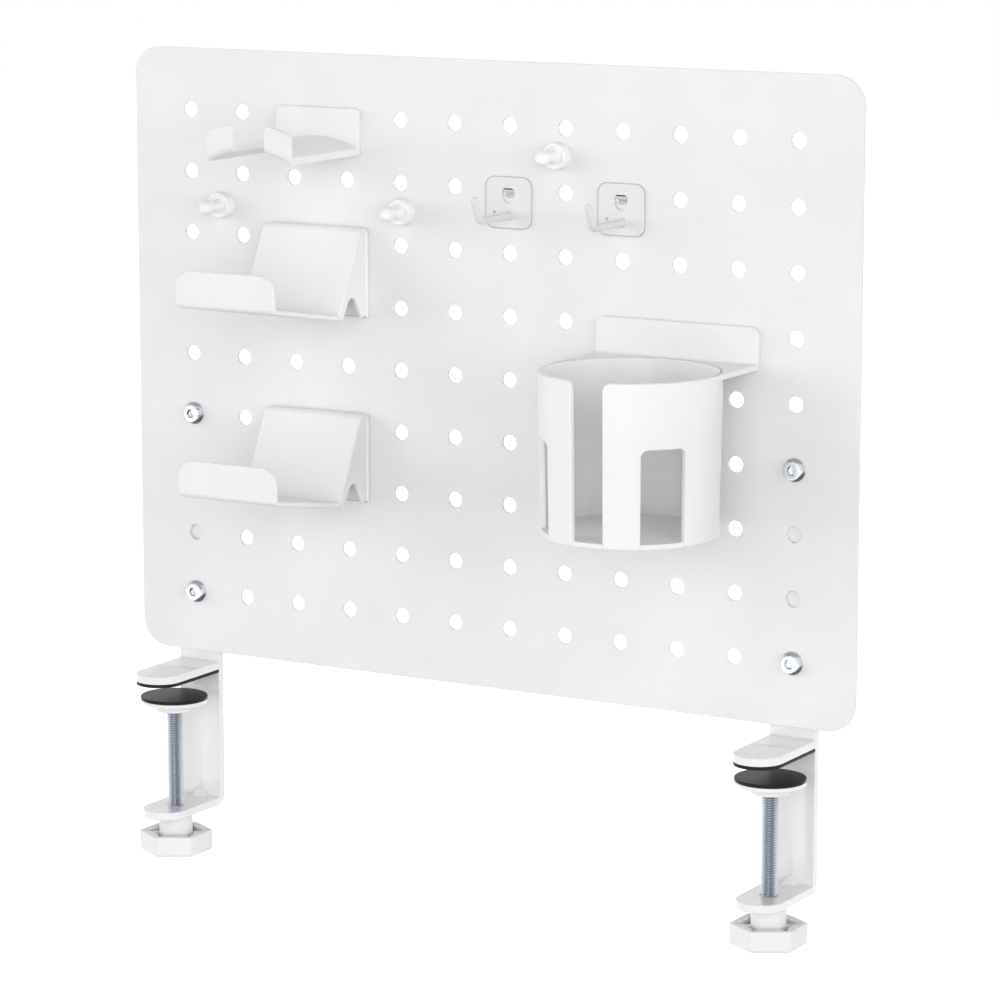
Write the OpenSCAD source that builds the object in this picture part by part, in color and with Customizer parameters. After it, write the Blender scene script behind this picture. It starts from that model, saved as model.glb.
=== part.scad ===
// Pegboard desk organizer: a perforated steel panel on two desk clamps, with holders pegged to it.
// Millimetres, +Z up, the viewer stands on the -Y side.
// The origin lies on the desk top, midway between the clamps, under the panel's rear face.

/* [Panel] */
// Width of the panel
board_w = 500; // [480:1:620]
// Height of the panel
board_h = 380; // [370:1:480]
// Thickness of its steel sheet
board_t = 2; // [1:0.1:2.5]
// Radius of its corners
board_corner_r = 18; // [5:1:30]
// Distance from one peg hole to the next
pitch = 38; // [36:0.5:40]
// Diameter of the peg holes
hole_d = 9.5; // [9.2:0.1:10.5]
// Least distance from an outer hole's middle to the panel's edge
hole_margin = 30; // [25:0.5:38]
// Height of the panel's lower edge above the desk top
board_lift = 13.5; // [8:0.5:30]

/* [Clamps] */
// Width of the clamp's steel strip
strip_w = 30; // [26:1:36]
// Thickness of the clamp's steel
strip_t = 5; // [3:0.5:6]
// Inside radius of the strip's bend
bend_r = 1.5; // [1:0.5:3]
// Depth of the lower jaw below the desk top
clamp_reach = 81; // [70:1:110]
// Length of the upper jaw in front of the strip
upper_jaw_len = 58.5; // [52:0.5:70]
// Length of the lower jaw in front of the strip
lower_jaw_len = 53.5; // [48:0.5:65]
// Thickness of the rubber under the upper jaw
jaw_pad_t = 2; // [1:0.5:4]
// Length of strip above the upper bolt
strip_over = 16; // [10:1:18]
// Width of the gusset pressed into the bend
gusset_w = 10.6; // [8:0.2:14]
// Height of the gusset
gusset_h = 5; // [3:0.5:7]
// Radius of the dent behind the gusset
gusset_dent_r = 4.6; // [3:0.2:5]

/* [Clamp screws] */
// Diameter of the screw
screw_d = 10; // [8:0.5:12]
// Distance from the strip to the screw's axis
screw_off = 28.5; // [26:0.5:34]
// Gap between the two rubber faces with the screw fully up
disc_gap = 10.5; // [8:0.5:20]
// Diameter of the pressure disc
disc_d = 42; // [36:0.5:48]
// Thickness of the pressure disc
disc_t = 2.5; // [2:0.1:4]
// Thickness of the rubber on the disc
disc_pad_t = 2; // [1:0.5:4]
// Diameter of the disc's neck
neck_d = 23.5; // [18:0.5:26]
// Height of the disc's neck
neck_h = 5; // [4:0.5:9]
// Diameter of the knob's boss
boss_d = 21.1; // [18:0.1:24]
// Length of the boss above the knob's rim
boss_len = 11.5; // [6:0.5:16]
// Distance from the knob's axis to its corners
knob_r = 23.4; // [22:0.2:30]
// Radius of the knob's corners
knob_corner_r = 4; // [2:0.5:6]
// Height of the six-sided part
knob_h = 13; // [10:0.2:20]
// Wall of the knob
knob_wall = 2.4; // [1.6:0.1:3.2]

/* [Bolts] */
// Diameter of the bolts
bolt_d = 8; // [6:0.5:8.5]
// Diameter of the button head
head_d = 14; // [13:0.1:17]
// Diameter of the head's flat face
head_flat_d = 10.4; // [9:0.1:12]
// Height of the button head
head_h = 4.4; // [3.5:0.1:5.5]
// Width of the socket across its flats
socket_af = 5; // [4:0.5:6]
// Depth of the socket
socket_depth = 2.6; // [2:0.1:3]
// Width of the nuts across their flats
nut_af = 13; // [12:0.5:15]
// Height of the nuts
nut_h = 6.5; // [5:0.1:8]
// Length of thread that shows behind a nut
bolt_over = 1.5; // [0.5:0.1:4]

/* [Headset holder] */
// Width of the headset holder
holder_w = 59; // [50:1:70]
// Height of its back plate
holder_h = 27.8; // [25:0.1:34]
// Wall of its back plate, floor and tips
holder_t = 4; // [3:0.2:5]
// Height of the plate above its pegs
holder_over = 5.7; // [5.2:0.1:8]
// Radius of the arched floor's underside
saddle_r = 64; // [56:1:90]
// Drop from the pegs to the top of the underside
saddle_drop = 15.5; // [12:0.1:18]
// Length of the holder in front of the panel
holder_len = 79; // [60:1:100]
// Gap between its two arms
arm_gap = 22.4; // [16:0.2:28]
// Length of the gap
arm_gap_len = 41.5; // [25:0.5:45]
// Height of the upturned tips over the underside
tip_h = 16.5; // [12:0.5:22]

/* [Shelves] */
// Width of a shelf
shelf_w = 70; // [62:1:80]
// Wall of a shelf
shelf_t = 3; // [2.4:0.1:3.6]
// Height of the shelf's ridge above its lower pegs
ridge_h = 48.1; // [46:0.1:60]
// Width of the ridge
ridge_w = 10.5; // [10:0.5:16]
// Depth of the shelf's back below its lower pegs
back_drop = 7.1; // [6:0.1:12]
// Distance from the panel to the foot of the slope
foot_y = 34.6; // [28:0.2:45]
// Depth of the foot's inner corner below the lower pegs
foot_drop = 2.2; // [1:0.1:6]
// Length of the shelf in front of the panel
shelf_len = 105.7; // [85:0.1:130]
// Angle at which the ledge rises to the front
ledge_rise = 9.5; // [0:0.5:15]
// Height of the lip above the lower pegs
lip_h = 29; // [24:0.5:40]
// Radius of the lip's upper corners
lip_corner_r = 10.5; // [4:0.5:16]
// Outside radius of the ridge
ridge_r = 5; // [4:0.5:8]
// Height of the arch in the end webs
arch_h = 13.6; // [8:0.2:18]
// Width of the arch in the end webs
arch_w = 22.4; // [14:0.2:24]

/* [Cup holder] */
// Diameter of the cup at its rim
cup_d = 106.4; // [90:0.4:112]
// Diameter of the cup at its bottom
cup_foot_d = 103; // [84:0.4:106]
// Height of the cup
cup_h = 95; // [75:1:120]
// Wall and floor of the cup
cup_t = 3; // [2.4:0.1:3.6]
// Gap between the back plate and the cup
cup_gap = 1.8; // [1.5:0.1:6]
// Depth of the rim below the pegs
rim_drop = 16; // [14:0.5:20]
// Height of its back plate
cup_plate_h = 25; // [24.5:0.5:34]
// Thickness of its back plate
cup_plate_t = 4; // [3:0.2:5]
// Height of the plate above its pegs
cup_over = 5.5; // [5.2:0.1:8]
// Thickness of the flange
flange_t = 3.3; // [2.5:0.1:5]
// Width of the front slot
slot_w = 20.5; // [14:0.5:26]
// Width of the side windows
window_w = 27.8; // [18:0.2:32]
// Height of the side windows
window_h = 57; // [35:1:65]
// Angle of the side windows from the front
window_angle = 50.5; // [46:0.5:62]

/* [Hooks] */
// Width of a hook's plate
hook_w = 31.3; // [26:0.1:37]
// Height of a hook's plate
hook_h = 31; // [28:0.1:36]
// Thickness of its sheet
hook_t = 1.2; // [1:0.1:1.5]
// Radius of the plate's corners
hook_corner_r = 6; // [3:0.5:8]
// Height of the plate above the middle of its peg hole
hook_over = 7.9; // [6:0.1:10]
// Width of the window in the plate
hook_window_w = 8; // [7.5:0.1:9]
// Length of the tongue bent out of the window
tongue_len = 7.8; // [7:0.1:10]
// Diameter of the hook's rod
rod_d = 4.4; // [3:0.1:5]
// Distance from the panel to the rod's elbow
rod_len = 37.3; // [25:0.1:50]
// Length of the upturned end
rod_tip = 14; // [11:0.5:20]
// Angle at which the upturned end leans out
rod_lean = 23; // [5:1:40]

/* [Magnetic pins] */
// Diameter of a pin's skirt
skirt_d = 16.8; // [15:0.1:20]
// Height of the skirt
skirt_h = 5; // [4.5:0.1:8]
// Diameter of the step on the skirt
step_d = 15.2; // [13.5:0.1:15]
// Height of the step
step_h = 2; // [1:0.1:3]
// Diameter of the neck
pin_neck_d = 6; // [4:0.1:7]
// Diameter of the head
pin_head_d = 8; // [7.2:0.1:10]
// Length of a pin
pin_len = 24; // [21.5:0.5:32]
// Diameter of the magnet
magnet_d = 12; // [8:0.5:13]
// Thickness of the magnet
magnet_t = 4; // [2:0.5:4.5]

/* [Fits] */
// Clearance of a peg in its hole, on the radius
peg_gap = 0.15; // [0.1:0.05:0.3]
// Length of a peg behind the panel
peg_reach = 5; // [3:0.5:9]
// Running clearance of the screws, on the radius
run_gap = 0.05; // [0.03:0.01:0.08]
// Clearance of a bolt in the strip, on the radius
bolt_gap = 0.2; // [0.1:0.05:0.4]
// Clearance between pieces that come apart
part_gap = 0.3; // [0.2:0.05:0.5]

/* [Hidden] */

$fn = 64;
// Overrun of every cut
cut = 1;
// Overlap of two lengths of rod that are one piece
lap = 0.3;
// Largest turn between two points of an arc
arc_angle = 9;
// Share of an edge that a rounded corner may take up
corner_share = 0.49;
// Hexagons have six sides
hex = 6;

// Where things hang: columns count from the left, rows from the top
bolt_rows = [6, 9];
holder_cols = [3, 4];
holder_row = 1;
shelf_rows = [3, 4];
shelf_step_rows = 3;
cup_cols = [9, 11];
cup_row = 4;
hook_cols = [7, 9];
hook_row = 2;
// Places of the pins: the hole column as a fraction, and pitches above the middle of the panel
pin_place_shares = [[1.629, 2.476], [5.066, 2.555], [7.882, 3.571]];

// Small radii of moulded and bent edges
holder_corner_r = 3;
holder_notch_r = 3;
shelf_fillet_r = 1;
arch_r = 3;
cup_plate_corner_r = 5;
slot_corner_r = 5;
window_corner_r = 4.5;
rim_edge_r = 1.2;
pin_edge_r = 0.6;
disc_edge_r = 0.6;
rod_bend_r = 4.4;
// Growth of the rod's diameter in its bend
bend_swell = 0.1;
peg_chamfer = 0.8;
// Width of the slit that lets a peg spring
slit_w = 1.2;
// Setback of the shelves' end webs
web_inset = 1;
// Setback of the cup's floor in its cut-outs
floor_inset = 1;
// Floor of the knob, and its ribs
knob_floor = 2.5;
knob_rib_t = 2;
// Depth of the screw's seats in disc and knob
disc_seat = 5.4;
knob_seat_floor = 3;
// Chamfer of the nuts and bolt ends
nut_chamfer = 1;
bolt_chamfer = 0.8;
// Top radius of the gusset
gusset_top_r = 2.2;
// Sideways place of the rod on its plate, and its drop below the hole
rod_side = 1.2;
rod_drop = 15.1;
// Slope of the tongue through the sheet
tongue_slope = 40;
// Top edge of the tongue's window below the hole's middle
window_drop = 0.2;
// Cone of the pin below its neck
pin_cone_d = 12;
pin_cone_h = 7;

// Peg holes in a row, and rows of them, as many as the panel has room for
hole_cols = floor((board_w - 2 * hole_margin) / pitch) + 1;
hole_rows = floor((board_h - 2 * hole_margin) / pitch) + 1;

mid_z = board_lift + board_h / 2;
clamp_x = col_x(hole_cols);
lower_jaw_z = -clamp_reach;
jaw_low_z = -clamp_reach - strip_t;
disc_pad_z = -disc_gap - disc_pad_t;
disc_z = disc_pad_z - disc_t;
neck_z = disc_z - neck_h;
knob_top_z = jaw_low_z - part_gap;
knob_rim_z = knob_top_z - boss_len;
knob_low_z = knob_rim_z - knob_h;
peg_d = hole_d - 2 * peg_gap;

// Middle of a column and of a row of peg holes
function col_x(col) = (col - (hole_cols + 1) / 2) * pitch;
function row_z(row) = mid_z + ((hole_rows + 1) / 2 - row) * pitch;

// Points on an arc about a centre
function arc(centre, r, from, to) =
    let (steps = ceil(abs(to - from) / arc_angle))
    [for (i = [0:steps])
        let (a = from + (to - from) * i / steps)
        centre + r * [cos(a), sin(a)]];

// Points that round corner b between its neighbours a and c, no more than half an edge long
function corner_arc(a, b, c, wanted_r) =
    let (
        u = (a - b) / norm(a - b),
        v = (c - b) / norm(c - b),
        half = acos(u * v) / 2,
        r = min(wanted_r, tan(half) * min(norm(a - b), norm(c - b)) * corner_share),
        turn = 180 - 2 * half,
        centre = b + (u + v) / norm(u + v) * r / sin(half),
        from = b + u * r / tan(half) - centre,
        to = b + v * r / tan(half) - centre,
        way = sign(from[0] * to[1] - from[1] * to[0]),
        start = atan2(from[1], from[0])
    )
    wanted_r == 0 ? [b] : arc(centre, r, start, start + way * turn);

// An outline with every corner rounded to its own radius
function rounded(points, radii) =
    let (n = len(points))
    [for (i = [0:n - 1])
        each corner_arc(points[(i + n - 1) % n], points[i], points[(i + 1) % n], radii[i])];

// A rectangle with rounded corners
function rounded_box(low, high, r) =
    rounded([low, [high[0], low[1]], high, [low[0], high[1]]], [r, r, r, r]);

// The same path moved sideways by t, to the left of its direction
function unit(v) = v / norm(v);
function left_of(v) = [-v[1], v[0]];
function beside(path, t) =
    let (n = len(path))
    [for (i = [0:n - 1])
        let (
            before = unit(path[max(i, 1)] - path[max(i, 1) - 1]),
            after = unit(path[min(i + 1, n - 1)] - path[min(i + 1, n - 1) - 1]),
            aim = left_of(before) + left_of(after)
        )
        path[i] + aim * 2 * t / (aim * aim)];
function reversed(list) = [for (i = [len(list) - 1:-1:0]) list[i]];

// Stands a front view (x, z) up as a plate that reaches back from y
module standing(y, thick) {
    translate([0, y + thick, 0])
        rotate([90, 0, 0])
            linear_extrude(thick)
                children();
}

// Runs a side view (y, z) from x to the right
module across(x, width) {
    translate([x, 0, 0])
        rotate([90, 0, 90])
            linear_extrude(width)
                children();
}

// A peg that runs back from the panel's front face, split at its end
module peg() {
    chamfer_r = peg_d / 2 - peg_chamfer;
    reach = board_t + peg_reach;
    difference() {
        rotate([-90, 0, 0])
            rotate_extrude()
                polygon([
                    [0, -holder_t / 2],
                    [peg_d / 2, -holder_t / 2],
                    [peg_d / 2, reach - peg_chamfer],
                    [chamfer_r, reach],
                    [0, reach]
                ]);
        translate([-slit_w / 2, board_t, -peg_d])
            cube([slit_w, peg_reach + cut, 2 * peg_d]);
    }
}

module pegboard_panel() {
    color("white")
        standing(-board_t, board_t)
            difference() {
                polygon(rounded_box(
                    [-board_w / 2, board_lift], [board_w / 2, board_lift + board_h], board_corner_r));
                for (col = [1:hole_cols], row = [1:hole_rows])
                    translate([col_x(col), row_z(row)])
                        circle(d = hole_d);
            }
}

// Outline of a jaw seen from above, with a round front
module jaw_outline(length) {
    square_len = length - strip_w / 2;
    translate([-strip_w / 2, -square_len])
        square([strip_w, square_len]);
    translate([0, -square_len])
        circle(d = strip_w);
}

// Strip behind the panel, bent forward into the lower jaw
module clamp_bracket(x) {
    strip_top = row_z(bolt_rows[0]) + strip_over;
    jaw_square_len = lower_jaw_len - strip_w / 2;
    side = rounded(
        [
            [0, strip_top],
            [strip_t, strip_top],
            [strip_t, jaw_low_z],
            [-jaw_square_len, jaw_low_z],
            [-jaw_square_len, lower_jaw_z],
            [0, lower_jaw_z]
        ],
        [0, 0, bend_r + strip_t, 0, 0, bend_r]);
    color("white")
        translate([x, 0, 0])
            difference() {
                union() {
                    across(-strip_w / 2, strip_w)
                        polygon(side);
                    translate([0, -jaw_square_len, jaw_low_z])
                        cylinder(h = strip_t, d = strip_w);
                    intersection() {
                        translate([0, 0, lower_jaw_z])
                            cylinder(h = gusset_h, r1 = gusset_w / 2, r2 = gusset_top_r);
                        translate([-gusset_w, -gusset_w, lower_jaw_z - cut])
                            cube([2 * gusset_w, gusset_w + strip_t / 2, gusset_h + 2 * cut]);
                    }
                }
                translate([0, strip_t, jaw_low_z])
                    sphere(r = gusset_dent_r);
                translate([0, -screw_off, jaw_low_z - cut])
                    cylinder(h = strip_t + 2 * cut, d = screw_d + 2 * run_gap);
                for (row = bolt_rows)
                    translate([0, -cut, row_z(row)])
                        rotate([-90, 0, 0])
                            cylinder(h = strip_t + 2 * cut, d = bolt_d + 2 * bolt_gap);
            }
}
module clamp_bracket_left() { clamp_bracket(-clamp_x); }
module clamp_bracket_right() { clamp_bracket(clamp_x); }

// Tongue that rests on the desk top, welded to the strip's front
module upper_jaw(x) {
    color("white")
        translate([x, 0, jaw_pad_t])
            linear_extrude(strip_t)
                jaw_outline(upper_jaw_len);
}
module upper_jaw_left() { upper_jaw(-clamp_x); }
module upper_jaw_right() { upper_jaw(clamp_x); }

// Rubber sheet under the upper jaw
module jaw_pad(x) {
    color("dimgray")
        translate([x, 0, 0])
            linear_extrude(jaw_pad_t)
                jaw_outline(upper_jaw_len);
}
module jaw_pad_left() { jaw_pad(-clamp_x); }
module jaw_pad_right() { jaw_pad(clamp_x); }

// Rod from its seat in the knob to its seat in the disc
module clamp_screw(x) {
    low = knob_low_z + knob_seat_floor;
    high = neck_z + disc_seat - part_gap;
    color("silver")
        translate([x, -screw_off, low])
            cylinder(h = high - low, d = screw_d);
}
module clamp_screw_left() { clamp_screw(-clamp_x); }
module clamp_screw_right() { clamp_screw(clamp_x); }

// Six-sided outline with rounded corners, a corner to the front
module knob_outline(inset) {
    r = knob_r - inset / cos(180 / hex);
    polygon(rounded(
        [for (i = [0:hex - 1])
            let (a = 360 / hex * (i + 1 / 2))
            r * [cos(a), sin(a)]],
        [for (i = [1:hex]) max(knob_corner_r - inset, pin_edge_r)]));
}

// Hand knob, hollow from above, with ribs from its boss to its corners
module clamp_knob(x) {
    color("white")
        translate([x, -screw_off, knob_low_z])
            difference() {
                union() {
                    difference() {
                        linear_extrude(knob_h)
                            knob_outline(0);
                        translate([0, 0, knob_floor])
                            linear_extrude(knob_h)
                                knob_outline(knob_wall);
                    }
                    intersection() {
                        linear_extrude(knob_h)
                            knob_outline(knob_wall / 2);
                        for (i = [1:hex / 2])
                            rotate([0, 0, 360 / hex * (i - 1 / 2)])
                                translate([-knob_r, -knob_rib_t / 2, knob_wall / 2])
                                    cube([2 * knob_r, knob_rib_t, knob_h - knob_wall]);
                    }
                    cylinder(h = knob_h + boss_len, d = boss_d);
                }
                translate([0, 0, knob_seat_floor])
                    cylinder(h = knob_h + boss_len, d = screw_d);
            }
}
module clamp_knob_left() { clamp_knob(-clamp_x); }
module clamp_knob_right() { clamp_knob(clamp_x); }

// Disc that presses against the desk from below, with a neck round the screw's end
module pressure_disc(x) {
    seat_r = screw_d / 2 + run_gap;
    color("white")
        translate([x, -screw_off, 0])
            rotate_extrude()
                polygon(rounded(
                    [
                        [0, disc_pad_z],
                        [0, neck_z + disc_seat],
                        [seat_r, neck_z + disc_seat],
                        [seat_r, neck_z],
                        [neck_d / 2, neck_z],
                        [neck_d / 2, disc_z],
                        [disc_d / 2, disc_z],
                        [disc_d / 2, disc_pad_z]
                    ],
                    [0, 0, 0, 0, disc_edge_r, disc_edge_r, disc_edge_r, disc_edge_r]));
}
module pressure_disc_left() { pressure_disc(-clamp_x); }
module pressure_disc_right() { pressure_disc(clamp_x); }

// Rubber on the disc
module disc_pad(x) {
    color("dimgray")
        translate([x, -screw_off, disc_pad_z])
            cylinder(h = disc_pad_t, d = disc_d);
}
module disc_pad_left() { disc_pad(-clamp_x); }
module disc_pad_right() { disc_pad(clamp_x); }

// Button-head bolt with its head's seat at z = 0 and its head upwards
module bolt() {
    head_r = head_d / 2;
    flat_r = head_flat_d / 2;
    dome_z = (head_h * head_h + flat_r * flat_r - head_r * head_r) / (2 * head_h);
    dome_r = norm([head_r, dome_z]);
    length = board_t + strip_t + nut_h + bolt_over;
    difference() {
        intersection() {
            translate([0, 0, dome_z])
                sphere(r = dome_r);
            cylinder(h = head_h, r = dome_r + cut);
        }
        translate([0, 0, head_h - socket_depth])
            cylinder(h = socket_depth + cut, d = socket_af / cos(180 / hex), $fn = hex);
    }
    translate([0, 0, -length])
        cylinder(h = bolt_chamfer, d1 = bolt_d - 2 * bolt_chamfer, d2 = bolt_d);
    translate([0, 0, bolt_chamfer - length])
        cylinder(h = length - bolt_chamfer, d = bolt_d);
}

module bracket_bolts() {
    color("lightsteelblue")
        for (x = [-clamp_x, clamp_x], row = bolt_rows)
            translate([x, -board_t, row_z(row)])
                rotate([90, 0, 0])
                    bolt();
}

module bracket_nuts() {
    corner_r = nut_af / 2 / cos(180 / hex);
    color("lightsteelblue")
        for (x = [-clamp_x, clamp_x], row = bolt_rows)
            translate([x, strip_t, row_z(row)])
                rotate([-90, 0, 0])
                    difference() {
                        intersection() {
                            cylinder(h = nut_h, r = corner_r, $fn = hex);
                            union() {
                                cylinder(h = nut_h - nut_chamfer, r = corner_r + cut);
                                translate([0, 0, nut_h - nut_chamfer])
                                    cylinder(h = nut_chamfer, r1 = corner_r + cut, r2 = nut_af / 2);
                            }
                        }
                        translate([0, 0, -cut])
                            cylinder(h = nut_h + 2 * cut, d = bolt_d + 2 * run_gap);
                    }
}

// Arched saddle for a headband, with two arms and upturned tips
module headset_holder() {
    mid_x = (col_x(holder_cols[0]) + col_x(holder_cols[1])) / 2;
    peg_z = row_z(holder_row);
    plate_top = peg_z + holder_over;
    arch_z = peg_z - saddle_drop - saddle_r;
    front = -board_t - holder_len;
    half_w = holder_w / 2;
    half_gap = arm_gap / 2;
    tip_r = saddle_r + tip_h;
    function tip_top(x) = sqrt(tip_r * tip_r - x * x);
    color("white") {
        standing(-board_t - holder_t, holder_t)
            polygon(rounded_box(
                [mid_x - half_w, plate_top - holder_h], [mid_x + half_w, plate_top], holder_corner_r));
        difference() {
            standing(front, holder_len - holder_t / 2)
                translate([mid_x, arch_z])
                    intersection() {
                        difference() {
                            circle(r = saddle_r + holder_t);
                            circle(r = saddle_r);
                        }
                        translate([-half_w, 0])
                            square([holder_w, saddle_r + 2 * holder_t]);
                    }
            translate([mid_x, front, arch_z])
                linear_extrude(saddle_r + tip_h)
                    polygon(rounded(
                        [
                            [-half_gap, -cut], [half_gap, -cut],
                            [half_gap, arm_gap_len], [-half_gap, arm_gap_len]
                        ],
                        [0, 0, holder_notch_r, holder_notch_r]));
        }
        for (side = [0, 1])
            mirror([side, 0, 0])
                translate([side == 0 ? mid_x : -mid_x, 0, arch_z])
                    standing(front, holder_t)
                        difference() {
                            polygon(rounded(
                                [
                                    [half_gap, saddle_r / 2],
                                    [half_w, saddle_r / 2],
                                    [half_w, tip_top(half_w)],
                                    [half_gap, tip_top(half_gap)]
                                ],
                                [0, 0, holder_corner_r, holder_corner_r]));
                            circle(r = saddle_r);
                        }
        for (col = holder_cols)
            translate([col_x(col), -board_t, peg_z])
                peg();
    }
}

// Leaning shelf with its lower pegs in the given row
module shelf(low_row) {
    mid_x = (col_x(holder_cols[0]) + col_x(holder_cols[1])) / 2;
    half_w = shelf_w / 2;
    lip_y = shelf_len - shelf_t;
    ledge_end = tan(ledge_rise) * (lip_y - foot_y) - foot_drop;
    // Side view of the face that the things lean on, from the back's lower edge to the lip's top
    face = [
        [0, -back_drop],
        [0, ridge_h],
        [-ridge_w, ridge_h],
        [-foot_y, -foot_drop],
        [-lip_y, ledge_end],
        [-lip_y, lip_h]
    ];
    under = beside(face, shelf_t);
    inner_r = ridge_r - shelf_t;
    outer_r = shelf_fillet_r + shelf_t;
    profile = rounded(
        concat(face, reversed(under)),
        [
            shelf_fillet_r, ridge_r, ridge_r, shelf_fillet_r, shelf_fillet_r, shelf_fillet_r,
            shelf_fillet_r, outer_r, outer_r, inner_r, inner_r, shelf_fillet_r
        ]);
    core = beside(face, shelf_t / 2);
    foot_low = under[3];
    arch_mid = (core[0][0] + core[3][0]) / 2;
    color("white")
        translate([mid_x, -board_t, row_z(low_row)]) {
            difference() {
                across(-half_w, shelf_w)
                    polygon(profile);
                for (side = [0, 1])
                    mirror([side, 0, 0])
                        translate([half_w - lip_corner_r, 0, lip_h - lip_corner_r])
                            standing(-shelf_len - cut, shelf_t + 2 * cut)
                                difference() {
                                    square(lip_corner_r + cut);
                                    circle(r = lip_corner_r);
                                }
            }
            for (side = [0, 1])
                mirror([side, 0, 0])
                    across(half_w - web_inset - shelf_t, shelf_t)
                        difference() {
                            polygon([core[0], core[1], core[2], core[3], [core[3][0], foot_low[1]]]);
                            polygon(rounded(
                                [
                                    [arch_mid + arch_w / 2, -back_drop - cut],
                                    [arch_mid, arch_h + arch_r - back_drop],
                                    [arch_mid - arch_w / 2, -back_drop - cut]
                                ],
                                [0, arch_r, 0]));
                        }
            for (col = holder_cols, up = [0, 1])
                translate([col_x(col) - mid_x, 0, up * pitch])
                    peg();
        }
}
module shelf_upper() { shelf(shelf_rows[1]); }
module shelf_lower() { shelf(shelf_rows[1] + shelf_step_rows); }

// Tapered cup with a slot, two windows and a flange to its back plate
module cup_holder() {
    mid_x = (col_x(cup_cols[0]) + col_x(cup_cols[1])) / 2;
    peg_z = row_z(cup_row);
    rim_r = cup_d / 2;
    foot_r = cup_foot_d / 2;
    axis_y = -board_t - cup_plate_t - cup_gap - rim_r;
    rim_z = peg_z - rim_drop;
    plate_top = peg_z + cup_over;
    color("white") {
        standing(-board_t - cup_plate_t, cup_plate_t)
            polygon(rounded_box(
                [mid_x - rim_r, plate_top - cup_plate_h], [mid_x + rim_r, plate_top], cup_plate_corner_r));
        translate([mid_x, 0, rim_z - flange_t])
            linear_extrude(flange_t)
                difference() {
                    translate([-rim_r, axis_y])
                        square([cup_d, -axis_y - board_t - cup_plate_t / 2]);
                    translate([0, axis_y])
                        circle(r = rim_r - cup_t / 2);
                }
        translate([mid_x, axis_y, rim_z - cup_h]) {
            difference() {
                rotate_extrude()
                    polygon(rounded(
                        [
                            [foot_r - cup_t, 0], [foot_r, 0],
                            [rim_r, cup_h], [rim_r - cup_t, cup_h]
                        ],
                        [0, rim_edge_r, rim_edge_r, rim_edge_r]));
                standing(-cup_d, cup_d)
                    polygon(rounded(
                        [
                            [-slot_w / 2, -cut],
                            [slot_w / 2, -cut],
                            [slot_w / 2, cup_h],
                            [slot_w, cup_h],
                            [slot_w, cup_h + cut],
                            [-slot_w, cup_h + cut],
                            [-slot_w, cup_h],
                            [-slot_w / 2, cup_h]
                        ],
                        [0, 0, slot_corner_r, 0, 0, 0, 0, slot_corner_r]));
                for (side = [-1, 1])
                    rotate([0, 0, side * window_angle])
                        standing(-cup_d, cup_d)
                            polygon(rounded(
                                [
                                    [-window_w / 2, -cut],
                                    [window_w / 2, -cut],
                                    [window_w / 2, window_h],
                                    [-window_w / 2, window_h]
                                ],
                                [0, 0, window_corner_r, window_corner_r]));
            }
            cylinder(h = cup_t, r = foot_r - floor_inset);
        }
        for (col = cup_cols)
            translate([col_x(col), -board_t, peg_z])
                peg();
    }
}

// Sheet plate with a window whose tongue hooks through a peg hole
module hook_plate(col) {
    top = hook_over;
    window_low = -window_drop - tongue_len;
    run = hook_t / 2 + board_t + part_gap + hook_t / 2;
    centre = [
        [-hook_t / 2, hook_t],
        [-hook_t / 2, -window_drop],
        [run - hook_t / 2, -window_drop - run * tan(tongue_slope)],
        [run - hook_t / 2, window_low]
    ];
    tongue = concat(beside(centre, hook_t / 2), reversed(beside(centre, -hook_t / 2)));
    tongue_w = hook_window_w - 4 * peg_gap;
    color("white")
        translate([col_x(col), -board_t, row_z(hook_row)]) {
            standing(-hook_t, hook_t)
                difference() {
                    polygon(rounded_box([-hook_w / 2, top - hook_h], [hook_w / 2, top], hook_corner_r));
                    translate([-hook_window_w / 2, window_low + hook_window_w / 2])
                        square([hook_window_w, tongue_len - hook_window_w / 2]);
                    translate([0, window_low + hook_window_w / 2])
                        circle(d = hook_window_w);
                }
            across(-tongue_w / 2, tongue_w)
                polygon(tongue);
        }
}
module hook_plate_left() { hook_plate(hook_cols[0]); }
module hook_plate_right() { hook_plate(hook_cols[1]); }

// Bent round rod, butt welded to the plate's front
module hook_rod(col) {
    turn = 90 - rod_lean;
    bend_len = rod_bend_r * tan(turn / 2);
    bend_y = bend_len - rod_len;
    tip_y = bend_y - rod_bend_r * sin(turn);
    tip_z = rod_bend_r * (1 - cos(turn));
    tip_len = rod_tip - bend_len - rod_d / 2;
    color("white")
        translate([col_x(col) + rod_side, -board_t, row_z(hook_row) - rod_drop]) {
            translate([0, -hook_t, 0])
                rotate([90, 0, 0])
                    cylinder(h = lap - bend_y - hook_t, d = rod_d);
            translate([0, bend_y, rod_bend_r])
                rotate([0, 90, 180])
                    rotate_extrude(angle = turn)
                        translate([rod_bend_r, 0])
                            circle(d = rod_d + bend_swell);
            translate([0, tip_y, tip_z])
                rotate([rod_lean, 0, 0])
                    rotate_extrude()
                        polygon(concat(
                            [[0, -lap], [rod_d / 2, -lap]],
                            arc([0, tip_len], rod_d / 2, 0, 90)));
        }
}
module hook_rod_left() { hook_rod(hook_cols[0]); }
module hook_rod_right() { hook_rod(hook_cols[1]); }

// Stands a turned piece on the panel at one of the pins' places
module at_pin(index) {
    place = pin_place_shares[index];
    translate([col_x(place[0]), -board_t, mid_z + place[1] * pitch])
        rotate([90, 0, 0])
            children();
}

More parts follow.
